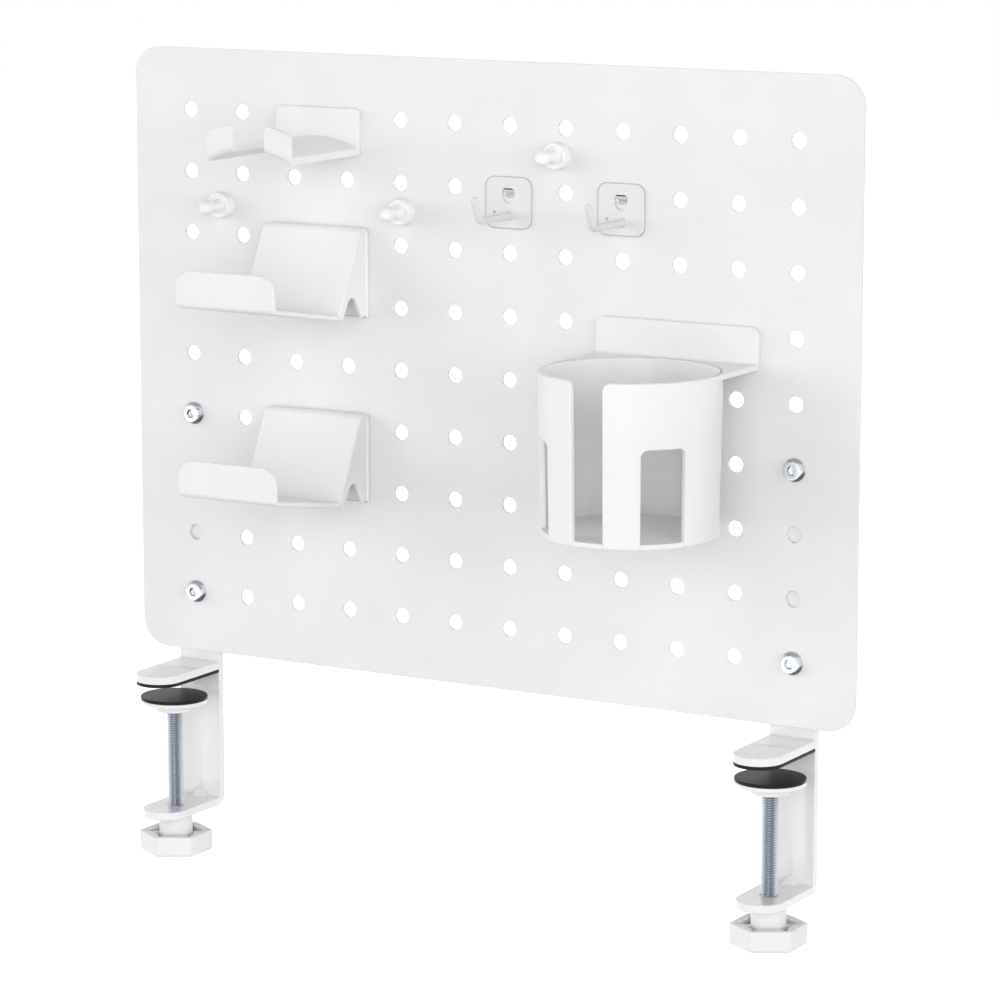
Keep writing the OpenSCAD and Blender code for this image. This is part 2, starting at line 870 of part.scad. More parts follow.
module pin_body(index) {
    seat_r = magnet_d / 2 + run_gap;
    head_r = pin_head_d / 2;
    step_z = skirt_h + step_h;
    neck_h_z = step_z + pin_cone_h;
    below_head = rounded(
        [
            [0, magnet_t + run_gap],
            [seat_r, magnet_t + run_gap],
            [seat_r, 0],
            [skirt_d / 2, 0],
            [skirt_d / 2, skirt_h],
            [step_d / 2, skirt_h],
            [step_d / 2, step_z],
            [pin_cone_d / 2, step_z],
            [pin_neck_d / 2, neck_h_z],
            [head_r, neck_h_z + pin_neck_d / 2],
            [head_r, pin_len - head_r],
            [0, pin_len - head_r]
        ],
        [0, 0, 0, 0, pin_edge_r, 0, pin_edge_r, pin_edge_r, pin_neck_d / 2, pin_edge_r, 0, 0]);
    color("whitesmoke")
        at_pin(index) {
            rotate_extrude()
                polygon(below_head);
            translate([0, 0, pin_len - head_r])
                sphere(r = head_r);
        }
}
module pin_body_1() { pin_body(0); }
module pin_body_2() { pin_body(1); }
module pin_body_3() { pin_body(2); }

module pin_magnet(index) {
    color("gray")
        at_pin(index)
            cylinder(h = magnet_t, d = magnet_d);
}
module pin_magnet_1() { pin_magnet(0); }
module pin_magnet_2() { pin_magnet(1); }
module pin_magnet_3() { pin_magnet(2); }

pegboard_panel();
clamp_bracket_left();
clamp_bracket_right();
upper_jaw_left();
upper_jaw_right();
jaw_pad_left();
jaw_pad_right();
clamp_screw_left();
clamp_screw_right();
clamp_knob_left();
clamp_knob_right();
pressure_disc_left();
pressure_disc_right();
disc_pad_left();
disc_pad_right();
bracket_bolts();
bracket_nuts();
headset_holder();
shelf_upper();
shelf_lower();
cup_holder();
hook_plate_left();
hook_plate_right();
hook_rod_left();
hook_rod_right();
pin_body_1();
pin_body_2();
pin_body_3();
pin_magnet_1();
pin_magnet_2();
pin_magnet_3();
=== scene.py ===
# Pegboard desk organizer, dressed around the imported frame.
# The helpers take millimetres. Meshes and the scene are in metres, in the frame's own axes.
import math

import bmesh
import bpy
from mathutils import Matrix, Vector
from mathutils.geometry import tessellate_polygon


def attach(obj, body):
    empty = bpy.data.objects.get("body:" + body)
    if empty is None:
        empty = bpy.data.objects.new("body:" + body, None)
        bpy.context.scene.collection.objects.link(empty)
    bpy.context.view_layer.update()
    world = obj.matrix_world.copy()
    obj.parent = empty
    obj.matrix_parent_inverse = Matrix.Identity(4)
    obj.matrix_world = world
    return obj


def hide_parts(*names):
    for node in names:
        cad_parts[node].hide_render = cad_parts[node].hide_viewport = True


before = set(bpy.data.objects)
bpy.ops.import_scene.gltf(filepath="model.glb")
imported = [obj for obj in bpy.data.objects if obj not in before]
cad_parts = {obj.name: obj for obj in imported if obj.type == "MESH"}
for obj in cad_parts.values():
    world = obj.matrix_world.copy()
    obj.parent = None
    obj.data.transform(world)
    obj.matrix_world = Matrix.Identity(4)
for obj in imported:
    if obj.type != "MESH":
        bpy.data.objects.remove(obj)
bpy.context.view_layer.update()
mm = 0.001
sides = {"left": -1, "right": 1}
flatWeight = 1000.0  # how far a flat face outweighs a rounded edge in the shading
softAngle = 45.0  # edges sharper than this stay crisp
squarePower = 16  # the higher, the sharper the outside of a squared bend
weldRoot = 0.3  # how far welds and fillets reach into what they join
weldEdge = 0.05
domeSteps = 5
domeTop = 0.02  # the share of a rod's radius that is left at the top of its dome
straightHalf = 89.5  # a corner whose half angle is over this counts as straight
sharpLimit = 0.2  # keeps the inset of a very sharp corner short


def cosDeg(angle):
    return math.cos(math.radians(angle))


def sinDeg(angle):
    return math.sin(math.radians(angle))


def arcPoints(centre, radius, start, end, step=9.0):
    steps = max(1, math.ceil(abs(end - start) / step - 1e-6))
    angles = [start + (end - start) * i / steps for i in range(steps + 1)]
    return [(centre[0] + radius * cosDeg(a), centre[1] + radius * sinDeg(a)) for a in angles]


# Each corner of the outline becomes an arc of its own radius.
def roundedOutline(points, radii, step=9.0):
    if not hasattr(radii, "__len__"):
        radii = [radii] * len(points)
    made = []
    for i, (x, y) in enumerate(points):
        corner = Vector((x, y))
        before = (Vector(points[i - 1]) - corner).normalized()
        after = (Vector(points[(i + 1) % len(points)]) - corner).normalized()
        half = before.angle(after) / 2
        if radii[i] <= 0 or half > math.radians(straightHalf):
            made.append((x, y))
            continue
        centre = corner + (before + after).normalized() * radii[i] / math.sin(half)
        start = corner + before * radii[i] / math.tan(half) - centre
        end = corner + after * radii[i] / math.tan(half) - centre
        turn = 180 - 2 * math.degrees(half)
        way = 1 if start.x * end.y - start.y * end.x > 0 else -1
        first = math.degrees(math.atan2(start.y, start.x))
        made += arcPoints(centre, radii[i], first, first + way * turn, step)
    return made


def boxOutline(low, high, radius=0.0):
    return roundedOutline([low, (high[0], low[1]), high, (low[0], high[1])], radius)


def circleOutline(centre, radius, steps):
    return arcPoints(centre, radius, 0, 360, 360 / steps)[:-1]


def loopArea(loop):
    return sum(loop[i - 1][0] * p[1] - p[0] * loop[i - 1][1] for i, p in enumerate(loop)) / 2


# The loop run anticlockwise, or clockwise for a hole.
def woundLoop(loop, hole=False):
    return list(loop) if (loopArea(loop) < 0) == hole else list(reversed(loop))


# The loop moved to the left of its own direction.
def insetLoop(loop, distance):
    made = []
    for i, p in enumerate(loop):
        here = Vector(p)
        before = (here - Vector(loop[i - 1])).normalized()
        after = (Vector(loop[(i + 1) % len(loop)]) - here).normalized()
        aim = Vector((-before.y - after.y, before.x + after.x))
        made.append(here + aim * 2 * distance / max(aim.length_squared, sharpLimit))
    return made


# (inset, height) from the lower face over the rounded edges to the upper face.
def edgeProfile(thick, edge, steps):
    angles = [90 * k / steps for k in range(steps + 1)]
    low = [(edge * (1 - sinDeg(a)), edge * (1 - cosDeg(a))) for a in angles]
    return low + [(inset, thick - height) for inset, height in reversed(low)]


# The shading weight of a ring of faces: the longer its span, the more it counts.
def spanWeight(p, q):
    return max(math.dist(p, q), 1e-3) ** 2


# Triangles over flat loops, all facing up. The first loop is the outline, the others are its holes.
def flatTriangles(loops):
    flat = [[Vector((p[0], p[1], 0)) for p in loop] for loop in loops]
    points = [p for loop in flat for p in loop]
    made = []
    for tri in tessellate_polygon(flat):
        a, b, c = (points[i] for i in tri)
        area = (b - a).cross(c - a).z
        if abs(area) > 1e-9:
            made.append(tuple(tri) if area > 0 else tuple(reversed(tri)))
    return made


# Vertices and faces of one piece, with a shading weight for each face.
class Shape:

    def __init__(self):
        self.points = []
        self.faces = []
        self.weights = []

    def add(self, points, faces, weights):
        first = len(self.points)
        self.points += [Vector(p) for p in points]
        self.faces += [tuple(first + i for i in face) for face in faces]
        self.weights += weights
        return self

    # A closed belt of four-sided faces between two rings, given by the places of their first points.
    def belt(self, low, high, count, weight):
        for i in range(count):
            j = (i + 1) % count
            self.faces.append((low + i, low + j, high + j, high + i))
            self.weights.append(weight)

    def join(self, other, move=(0, 0, 0)):
        return self.add([p + Vector(move) for p in other.points], other.faces, other.weights)

    def mapped(self, rule):
        other = Shape()
        return other.add([rule(*p) for p in self.points], self.faces, self.weights)

    def turned(self):
        self.faces = [tuple(reversed(face)) for face in self.faces]
        return self


# A flat plate over (u, v), from height 0 to thick, with rounded edges.
# cuts are lines along which it may bend, and bare names the edges that get no walls.
def plate(outline, thick, edge=0.5, holes=(), holeEdge=None, steps=3, cuts=(), bare=""):
    shape = Shape()
    rings = []
    for which, loop in enumerate([woundLoop(outline)] + [woundLoop(hole, True) for hole in holes]):
        rim = edge if which == 0 or holeEdge is None else holeEdge
        walled = bare != ("outside" if which == 0 else "holes")
        profile = edgeProfile(thick, rim, steps) if walled else [(0, 0), (0, thick)]
        count = len(loop)
        starts = []
        for inset, height in profile:
            starts.append(len(shape.points))
            shape.points += [Vector((p[0], p[1], height)) for p in insetLoop(loop, inset)]
        rings.append((starts[0], starts[-1], count))
        if walled:
            for k, (low, high) in enumerate(zip(starts, starts[1:])):
                shape.belt(low, high, count, flatWeight if k == steps else 1.0)
    for level in (0, 1):
        index = [ring[level] + i for ring in rings for i in range(ring[2])]
        loops = [[shape.points[ring[level] + i] for i in range(ring[2])] for ring in rings]
        for tri in flatTriangles(loops):
            face = tuple(index[i] for i in tri)
            shape.faces.append(face if level else face[::-1])
            shape.weights.append(flatWeight)
    return cutShape(shape, cuts) if cuts else shape


# Splits the faces along lines, each ('u' or 'v', place), so that the shape can bend there.
def cutShape(shape, cuts):
    mesh = bmesh.new()
    layer = mesh.faces.layers.float.new("shadeWeight")
    verts = [mesh.verts.new(p) for p in shape.points]
    for face, weight in zip(shape.faces, shape.weights):
        mesh.faces.new([verts[i] for i in face])[layer] = weight
    for axis, place in cuts:
        at, normal = ((place, 0, 0), (1, 0, 0)) if axis == "u" else ((0, place, 0), (0, 1, 0))
        geometry = mesh.verts[:] + mesh.edges[:] + mesh.faces[:]
        bmesh.ops.bisect_plane(mesh, geom=geometry, dist=1e-5, plane_co=at, plane_no=normal)
    mesh.verts.index_update()
    cut = Shape()
    faces = [tuple(v.index for v in f.verts) for f in mesh.faces]
    cut.add([v.co.copy() for v in mesh.verts], faces, [f[layer] for f in mesh.faces])
    mesh.free()
    return cut


# A path of straight runs and round bends in a plane, read by its length.
class BentPath:

    def __init__(self, points, radii):
        self.parts = []
        self.length = 0.0
        here = Vector(points[0])
        for i in range(1, len(points) - 1):
            corner = Vector(points[i])
            before = (corner - Vector(points[i - 1])).normalized()
            after = (Vector(points[i + 1]) - corner).normalized()
            turn = -before.angle_signed(after)
            back = radii[i - 1] * math.tan(abs(turn) / 2)
            start = corner - before * back
            self.addPart("run", (start - here).length, here, before, 0)
            self.addPart("bend", radii[i - 1] * abs(turn), start, before, turn)
            here = corner + after * back
        end = Vector(points[-1])
        self.addPart("run", (end - here).length, here, (end - Vector(points[-2])).normalized(), 0)

    def addPart(self, kind, size, start, way, turn):
        self.parts.append((kind, self.length, self.length + size, start, way, turn))
        self.length += size

    # The point at length s, height to the left of the path. square sharpens the outside of a bend.
    def at(self, s, height, square=0.0):
        for kind, low, high, start, way, turn in self.parts:
            if s <= high or high == self.length:
                break
        left = Vector((-way.y, way.x))
        if kind == "run":
            return start + way * (s - low) + left * height
        radius = (high - low) / abs(turn)
        side = 1 if turn > 0 else -1
        angle = (s - low) / radius
        centre = start + left * side * radius
        out = -left * side * math.cos(angle) + way * math.sin(angle)
        corner = (math.cos(angle) ** squarePower + math.sin(angle) ** squarePower) ** (-1 / squarePower)
        return centre + out * (radius - side * height) * (1 + (corner - 1) * square)

    # Places where a plate has to be split to follow the bends.
    def cuts(self, step):
        places = []
        for kind, low, high, _, _, turn in self.parts:
            if kind == "bend":
                count = max(2, math.ceil(abs(math.degrees(turn)) / step))
                places += [low + (high - low) * i / count for i in range(count + 1)]
        return [("v", place) for place in places]


# A bar along x that rounds the inside corner between an upright face at y = 0 and a level one at z = 0.
def filletBar(low, high, radius):
    bow = arcPoints((-radius, radius), radius, 270, 360, 15)
    section = [(weldRoot, -weldRoot), (weldRoot, radius)] + bow[::-1] + [(-radius, -weldRoot)]
    bar = plate(section, high - low, weldEdge, steps=1)
    return bar.mapped(lambda u, v, n: (low + n, u, v))


# Turns (radius, height) points round the z axis. The profile runs with its solid on the left.
def revolve(profile, steps):
    shape = Shape()
    rows = []
    for radius, height in profile:
        rows.append((len(shape.points), 1 if radius < 1e-6 else steps))
        for i in range(rows[-1][1]):
            a = 360 * i / steps
            shape.points.append(Vector((radius * cosDeg(a), radius * sinDeg(a), height)))
    for k, ((a, m), (b, n)) in enumerate(zip(rows, rows[1:])):
        weight = spanWeight(profile[k], profile[k + 1])
        for i in range(steps):
            j = (i + 1) % steps
            face = tuple(dict.fromkeys((a + i % m, a + j % m, b + j % n, b + i % n)))
            if len(face) > 2:
                shape.faces.append(face)
                shape.weights.append(weight)
    return shape


# Rings of one outline at (inset, height), with a flat face at each end. It runs upwards on the outside.
def insetLoft(outline, profile):
    shape = Shape()
    loop = woundLoop(outline)
    count = len(loop)
    for inset, height in profile:
        shape.points += [Vector((p[0], p[1], height)) for p in insetLoop(loop, inset)]
    for k, (p, q) in enumerate(zip(profile, profile[1:])):
        shape.belt(k * count, (k + 1) * count, count, spanWeight(p, q))
    last = (len(profile) - 1) * count
    shape.faces += [tuple(reversed(range(count))), tuple(range(last, last + count))]
    shape.weights += [flatWeight, flatWeight]
    return shape


# A round rod along a path in the (y, z) plane, with a dome on its last end.
def sweep(path, radius, steps):
    shape = Shape()
    rings = []
    for i, (y, z) in enumerate(path):
        way = (Vector(path[min(i + 1, len(path) - 1)]) - Vector(path[max(i - 1, 0)])).normalized()
        rings.append((Vector((y, z)), way, radius))
    end, way, _ = rings[-1]
    for k in range(1, domeSteps + 1):
        a = 90 * k / domeSteps
        rings.append((end + way * radius * sinDeg(a), way, radius * max(cosDeg(a), domeTop)))
    for centre, way, r in rings:
        for i in range(steps):
            a = 360 * i / steps
            across = Vector((-way.y, way.x)) * r * sinDeg(a)
            shape.points.append(Vector((r * cosDeg(a), centre.x + across.x, centre.y + across.y)))
    for a in range(0, (len(rings) - 1) * steps, steps):
        for i in range(steps):
            j = (i + 1) % steps
            shape.faces.append((a + i, a + steps + i, a + steps + j, a + j))
    last = (len(rings) - 1) * steps
    shape.faces += [tuple(range(steps)), tuple(reversed(range(last, last + steps)))]
    shape.weights = [1.0] * len(shape.faces)
    return shape


# Smooth shading in which flat faces stay flat and rounded edges blend into them.
def setShading(mesh):
    weights = mesh.attributes.get("shadeWeight")
    factor = [item.value for item in weights.data] if weights else [1.0] * len(mesh.polygons)
    normals = [p.normal.copy() for p in mesh.polygons]
    around = [[] for _ in mesh.vertices]
    for p in mesh.polygons:
        for v in p.vertices:
            around[v].append(p.index)
    limit = cosDeg(softAngle)
    corner = [None] * len(mesh.loops)
    for p in mesh.polygons:
        own = normals[p.index]
        for loop, v in zip(p.loop_indices, p.vertices):
            total = Vector((0, 0, 0))
            for other in around[v]:
                if normals[other].dot(own) >= limit:
                    total += normals[other] * factor[other]
            corner[loop] = total.normalized() if total.length > 0 else own
    for p in mesh.polygons:
        p.use_smooth = True
    mesh.normals_split_custom_set(corner)
    if weights:
        mesh.attributes.remove(mesh.attributes["shadeWeight"])


def meshOf(name, shape):
    mesh = bpy.data.meshes.new(name)
    mesh.from_pydata([p * mm for p in shape.points], [], shape.faces)
    mesh.update()
    layer = mesh.attributes.new("shadeWeight", "FLOAT", "FACE")
    layer.data.foreach_set("value", shape.weights)
    return mesh


# Puts a finished shape or mesh in the scene as one piece on its body.
def addPiece(name, made, look, body, node):
    mesh = meshOf(name, made) if isinstance(made, Shape) else made
    mesh.validate()
    setShading(mesh)
    mesh.materials.clear()
    mesh.materials.append(finish[look])
    obj = linkedObject(name, mesh)
    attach(obj, body)
    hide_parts(node)


def linkedObject(name, data):
    obj = bpy.data.objects.new(name, data)
    bpy.context.scene.collection.objects.link(obj)
    return obj


def meters(*values):
    return tuple(v * mm for v in values)


# Nodes

# Sets a node's inputs, each to a value or to what a socket gives. A list joins several sockets.
def feed(tree, node, inputs):
    for label, value in inputs.items():
        for source in value if isinstance(value, list) else [value]:
            if isinstance(source, bpy.types.NodeSocket):
                tree.links.new(source, node.inputs[label])
            else:
                node.inputs[label].default_value = source


def addNode(tree, kind, inputs):
    node = tree.nodes.new(kind)
    feed(tree, node, inputs)
    return node


def mathNode(tree, operation, *values):
    node = tree.nodes.new("ShaderNodeMath")
    node.operation = operation
    feed(tree, node, dict(enumerate(values)))
    return node.outputs[0]


def mapNode(tree, value, fromLow, fromHigh, toLow, toHigh):
    node = addNode(tree, "ShaderNodeMapRange", {
        "Value": value, "From Min": fromLow, "From Max": fromHigh, "To Min": toLow, "To Max": toHigh})
    node.interpolation_type = "SMOOTHSTEP"
    return node.outputs["Result"]


# What a texture coordinate gives, split into X, Y and Z.
def axesOf(tree, place):
    return addNode(tree, "ShaderNodeSeparateXYZ", {0: place}).outputs


# A Geometry Nodes tree with named inputs, the sockets of those inputs, and its output node.
def newTree(name, inputs):
    tree = bpy.data.node_groups.new(name, "GeometryNodeTree")
    tree.is_modifier = True
    tree.interface.new_socket("Geometry", in_out="INPUT", socket_type="NodeSocketGeometry")
    for label, kind in inputs:
        tree.interface.new_socket(label, in_out="INPUT", socket_type="NodeSocket" + kind)
    tree.interface.new_socket("Geometry", in_out="OUTPUT", socket_type="NodeSocketGeometry")
    return tree, tree.nodes.new("NodeGroupInput").outputs, tree.nodes.new("NodeGroupOutput")


# Real copies of the item on the points, joined to what the modifier sits on.
def copiesOn(tree, given, points, turns):
    item = addNode(tree, "GeometryNodeObjectInfo", {"Object": given["Item"]})
    copies = addNode(tree, "GeometryNodeInstanceOnPoints", {
        "Points": points, "Instance": item.outputs["Geometry"], **turns})
    real = addNode(tree, "GeometryNodeRealizeInstances", {"Geometry": copies.outputs["Instances"]})
    both = addNode(tree, "GeometryNodeJoinGeometry", {
        "Geometry": [given["Geometry"], real.outputs["Geometry"]]})
    return both.outputs["Geometry"]


def paintAndEnd(tree, given, end, geometry):
    paint = addNode(tree, "GeometryNodeSetMaterial", {"Geometry": geometry, "Material": given["Finish"]})
    feed(tree, end, {"Geometry": paint.outputs["Geometry"]})
    return tree


# Copies an item to every point of an upright grid, and welds the copies to what the modifier sits on.
def makeGridTree():
    tree, given, end = newTree("repeatOnGrid", [
        ("Item", "Object"), ("Columns", "Int"), ("Rows", "Int"), ("Across", "Float"), ("Up", "Float"),
        ("Centre", "Vector"), ("Weld", "Float"), ("Finish", "Material")])
    columns = mathNode(tree, "SUBTRACT", given["Columns"], 1)
    rows = mathNode(tree, "SUBTRACT", given["Rows"], 1)
    grid = addNode(tree, "GeometryNodeMeshGrid", {
        "Size X": mathNode(tree, "MULTIPLY", columns, given["Across"]),
        "Size Y": mathNode(tree, "MULTIPLY", rows, given["Up"]),
        "Vertices X": given["Columns"], "Vertices Y": given["Rows"]})
    upright = addNode(tree, "GeometryNodeTransform", {
        "Geometry": grid.outputs["Mesh"], "Rotation": (math.pi / 2, 0, 0), "Translation": given["Centre"]})
    points = addNode(tree, "GeometryNodeMeshToPoints", {"Mesh": upright.outputs["Geometry"]})
    both = copiesOn(tree, given, points.outputs["Points"], {})
    weld = addNode(tree, "GeometryNodeMergeByDistance", {"Geometry": both, "Distance": given["Weld"]})
    return paintAndEnd(tree, given, end, weld.outputs["Geometry"])


# Copies an item round the z axis through a centre.
def makeTurnTree():
    tree, given, end = newTree("repeatRound", [
        ("Item", "Object"), ("Count", "Int"), ("Turn", "Float"), ("Centre", "Vector"),
        ("Finish", "Material")])
    points = addNode(tree, "GeometryNodePoints", {"Count": given["Count"], "Position": given["Centre"]})
    index = tree.nodes.new("GeometryNodeInputIndex")
    turn = mathNode(tree, "MULTIPLY", index.outputs[0], given["Turn"])
    turns = addNode(tree, "ShaderNodeCombineXYZ", {"Z": turn}).outputs["Vector"]
    both = copiesOn(tree, given, points.outputs["Points"], {"Rotation": turns})
    return paintAndEnd(tree, given, end, both)


# How the thread is cut: the flat share of each crest, and the steepness of the flanks
threadCut = {"crest": 0.14, "steepness": 1.35}


# A rod with a right-hand thread: a fine cylinder whose radius follows its height and angle.
def makeThreadTree():
    tree, given, end = newTree("threadedRod", [
        ("Length", "Float"), ("Outer Radius", "Float"), ("Thread Depth", "Float"), ("Pitch", "Float"),
        ("Chamfer", "Float"), ("Sides", "Int"), ("Rings per Turn", "Int"), ("Centre", "Vector"),
        ("Finish", "Material")])
    turns = mathNode(tree, "DIVIDE", given["Length"], given["Pitch"])
    rings = mathNode(tree, "MULTIPLY", turns, given["Rings per Turn"])
    rod = addNode(tree, "GeometryNodeMeshCylinder", {
        "Vertices": given["Sides"], "Side Segments": mathNode(tree, "ROUND", rings),
        "Depth": given["Length"], "Radius": given["Outer Radius"]})
    rod.fill_type = "TRIANGLE_FAN"
    place = tree.nodes.new("GeometryNodeInputPosition")
    axes = axesOf(tree, place.outputs[0])
    angle = mathNode(tree, "ARCTAN2", axes["Y"], axes["X"])
    share = mathNode(tree, "DIVIDE", angle, 2 * math.pi)
    wave = mathNode(tree, "SUBTRACT", mathNode(tree, "DIVIDE", axes["Z"], given["Pitch"]), share)
    tooth = mathNode(tree, "PINGPONG", mathNode(tree, "MULTIPLY", wave, 2), 1)
    flank = mathNode(tree, "SUBTRACT", tooth, threadCut["crest"])
    groove = mathNode(tree, "MAXIMUM", 0, mathNode(tree, "MULTIPLY", flank, threadCut["steepness"]))
    cutIn = mathNode(tree, "MULTIPLY", mathNode(tree, "MINIMUM", groove, 1), given["Thread Depth"])
    half = mathNode(tree, "MULTIPLY", given["Length"], 0.5)
    fromEnd = mathNode(tree, "SUBTRACT", half, mathNode(tree, "ABSOLUTE", axes["Z"]))
    slope = mathNode(tree, "MAXIMUM", 0, mathNode(tree, "SUBTRACT", given["Chamfer"], fromEnd))
    loss = mathNode(tree, "MAXIMUM", cutIn, slope)
    keep = mathNode(tree, "SUBTRACT", 1, mathNode(tree, "DIVIDE", loss, given["Outer Radius"]))
    offset = addNode(tree, "ShaderNodeCombineXYZ", {
        "X": mathNode(tree, "MULTIPLY", axes["X"], keep), "Y": mathNode(tree, "MULTIPLY", axes["Y"], keep),
        "Z": axes["Z"]})
    shape = addNode(tree, "GeometryNodeSetPosition", {
        "Geometry": rod.outputs["Mesh"], "Position": offset.outputs["Vector"]})
    move = addNode(tree, "GeometryNodeTransform", {
        "Geometry": shape.outputs["Geometry"], "Translation": given["Centre"]})
    real = addNode(tree, "GeometryNodeRealizeInstances", {"Geometry": move.outputs["Geometry"]})
    return paintAndEnd(tree, given, end, real.outputs["Geometry"])


# Runs a tree on a base shape and returns the plain mesh. The item, if any, is what the tree copies.
def grow(name, base, tree, look, values, item=None):
    obj = linkedObject(name, meshOf(name, base))
    copied = linkedObject(name + "Item", meshOf(name + "Item", item)) if item else None
    modifier = obj.modifiers.new("grow", "NODES")
    modifier.node_group = tree
    ids = {s.name: s.identifier for s in tree.interface.items_tree if s.in_out == "INPUT"}
    if copied:
        modifier[ids["Item"]] = copied
    modifier[ids["Finish"]] = finish[look]
    for label, value in values.items():
        modifier[ids[label]] = value
    obj.update_tag()
    bpy.context.view_layer.update()
    shown = obj.evaluated_get(bpy.context.evaluated_depsgraph_get())
    made = bpy.data.meshes.new_from_object(shown)
    obj.modifiers.remove(modifier)
    bpy.data.objects.remove(obj)
    if copied:
        bpy.data.objects.remove(copied)
    return made


gridTree = makeGridTree()
turnTree = makeTurnTree()
threadTree = makeThreadTree()


# Copies an item to a grid of columns and rows round a centre, in millimetres.
def growOnGrid(name, base, item, look, counts, steps, centre, weld=0.0):
    return grow(name, base, gridTree, look, {
        "Columns": counts[0], "Rows": counts[1], "Across": steps[0] * mm, "Up": steps[1] * mm,
        "Centre": meters(*centre), "Weld": weld * mm}, item)


# A threaded rod of these sizes, standing on z round a centre.
def growRod(name, look, sizes, length, centre):
    return grow(name, Shape(), threadTree, look, {
        "Length": length * mm, "Outer Radius": sizes["outer"] / 2 * mm, "Thread Depth": sizes["depth"] * mm,
        "Pitch": sizes["pitch"] * mm, "Chamfer": sizes["chamfer"] * mm, "Sides": sizes["sides"],
        "Rings per Turn": sizes["rings"], "Centre": meters(*centre)})


# Finishes

finishes = {
    "panelPaint": {"colour": (0.76, 0.76, 0.758), "rough": 0.42, "grain": 900, "depth": 0.012},
    "clampPaint": {"colour": (0.73, 0.73, 0.728), "rough": 0.30, "grain": 500, "depth": 0.002, "coat": 1.0,
                   "coatIndex": 1.7},
    "mouldedWhite": {"colour": (0.77, 0.77, 0.768), "rough": 0.34, "grain": 1400, "depth": 0.004},
    "hookPaint": {"colour": (0.72, 0.72, 0.718), "rough": 0.32, "grain": 700, "depth": 0.006, "coat": 0.1},
    "wirePaint": {"colour": (0.66, 0.66, 0.658), "rough": 0.32, "grain": 700, "depth": 0.006, "coat": 0.1},
    "pinWhite": {"colour": (0.83, 0.83, 0.828), "rough": 0.30, "grain": 1400, "depth": 0.003},
    "knobWhite": {"colour": (0.77, 0.77, 0.768), "rough": 0.34, "grain": 1200, "depth": 0.004},
    "blackRubber": {"colour": (0.012, 0.012, 0.0125), "rough": 0.34, "grain": 1500, "depth": 0.01,
                    "shine": 0.12},
    "zincPlate": {"colour": (0.74, 0.77, 0.82), "rough": 0.16, "grain": 600, "depth": 0.003, "metal": 1.0},
    "screwSteel": {"colour": (0.70, 0.74, 0.80), "rough": 0.24, "grain": 600, "depth": 0.003, "metal": 1.0},
    "magnetPlate": {"colour": (0.62, 0.62, 0.63), "rough": 0.25, "grain": 600, "depth": 0.003, "metal": 1.0},
}
tintSpan = 0.03  # how far the colour wanders over a surface
roughSpan = 0.06
cloudSizes = {"scale": 14, "detail": 3, "low": 0.3, "high": 0.7}
grainSizes = {"detail": 2, "strength": 0.6}
coatRough = 0.03
# Painted shade in the thread's grooves and a painted dark reflection where the screw faces the viewer
threadPaintedShadeAndReflection = {"groove": 0.9, "facingLow": 0.06, "facingHigh": 0.5, "dark": (0.16, 0.18, 0.22)}
# Painted reflections on the zinc plate: its colour darkens where the surface faces each of these directions
boltPaintedReflection = {"dark": (0.05, 0.06, 0.08),
             "rooms": [{"aim": (0.55, 0.12, -0.83), "low": 0.45, "high": 0.7, "left": 0.1},
                       {"aim": (0.05, 0.1, 0.99), "low": 0.5, "high": 0.75, "left": 0.5}]}
# Painted shade on the hook plates' rounded edges
edgePaintedShade = {"low": 0.3, "high": 0.99, "dark": (0.57, 0.57, 0.575)}


def makeFinish(name, look):
    material = bpy.data.materials.new(name)
    material.use_nodes = True
    tree = material.node_tree
    place = tree.nodes.new("ShaderNodeTexCoord").outputs["Object"]
    cloud = addNode(tree, "ShaderNodeTexNoise", {
        "Vector": place, "Scale": cloudSizes["scale"], "Detail": cloudSizes["detail"]}).outputs["Fac"]
    tint = addNode(tree, "ShaderNodeValToRGB", {"Fac": cloud})
    for stop, where, sign in zip(tint.color_ramp.elements, ("low", "high"), (-1, 1)):
        stop.position = cloudSizes[where]
        stop.color = (*(min(1, c * (1 + sign * tintSpan)) for c in look["colour"]), 1)
    polish = addNode(tree, "ShaderNodeMapRange", {
        "Value": cloud, "To Min": look["rough"] - roughSpan / 2, "To Max": look["rough"] + roughSpan / 2})
    grain = addNode(tree, "ShaderNodeTexNoise", {
        "Vector": place, "Scale": look["grain"], "Detail": grainSizes["detail"]})
    bump = addNode(tree, "ShaderNodeBump", {
        "Height": grain.outputs["Fac"], "Strength": grainSizes["strength"], "Distance": look["depth"] * mm})
    feed(tree, tree.nodes["Principled BSDF"], {
        "Base Color": tint.outputs["Color"], "Roughness": polish.outputs["Result"],
        "Normal": bump.outputs["Normal"], "Metallic": look.get("metal", 0.0),
        "Coat Weight": look.get("coat", 0.0), "Coat Roughness": coatRough,
        "Coat IOR": look.get("coatIndex", 1.5), "Specular IOR Level": look.get("shine", 0.5)})
    return material


# Paints shade into a finish's colour: darkens it where the factor, which its own nodes work out, is under 1.
# Inputs 6 and 7 and output 2 of the mix node are its colours.
def paintDarkIntoFinish(material, factor, dark):
    tree = material.node_tree
    shader = tree.nodes["Principled BSDF"]
    plain = shader.inputs["Base Color"].links[0].from_socket
    mix = tree.nodes.new("ShaderNodeMix")
    mix.data_type = "RGBA"
    feed(tree, mix, {0: factor, 6: (*dark, 1), 7: plain})
    feed(tree, shader, {"Base Color": mix.outputs[2]})
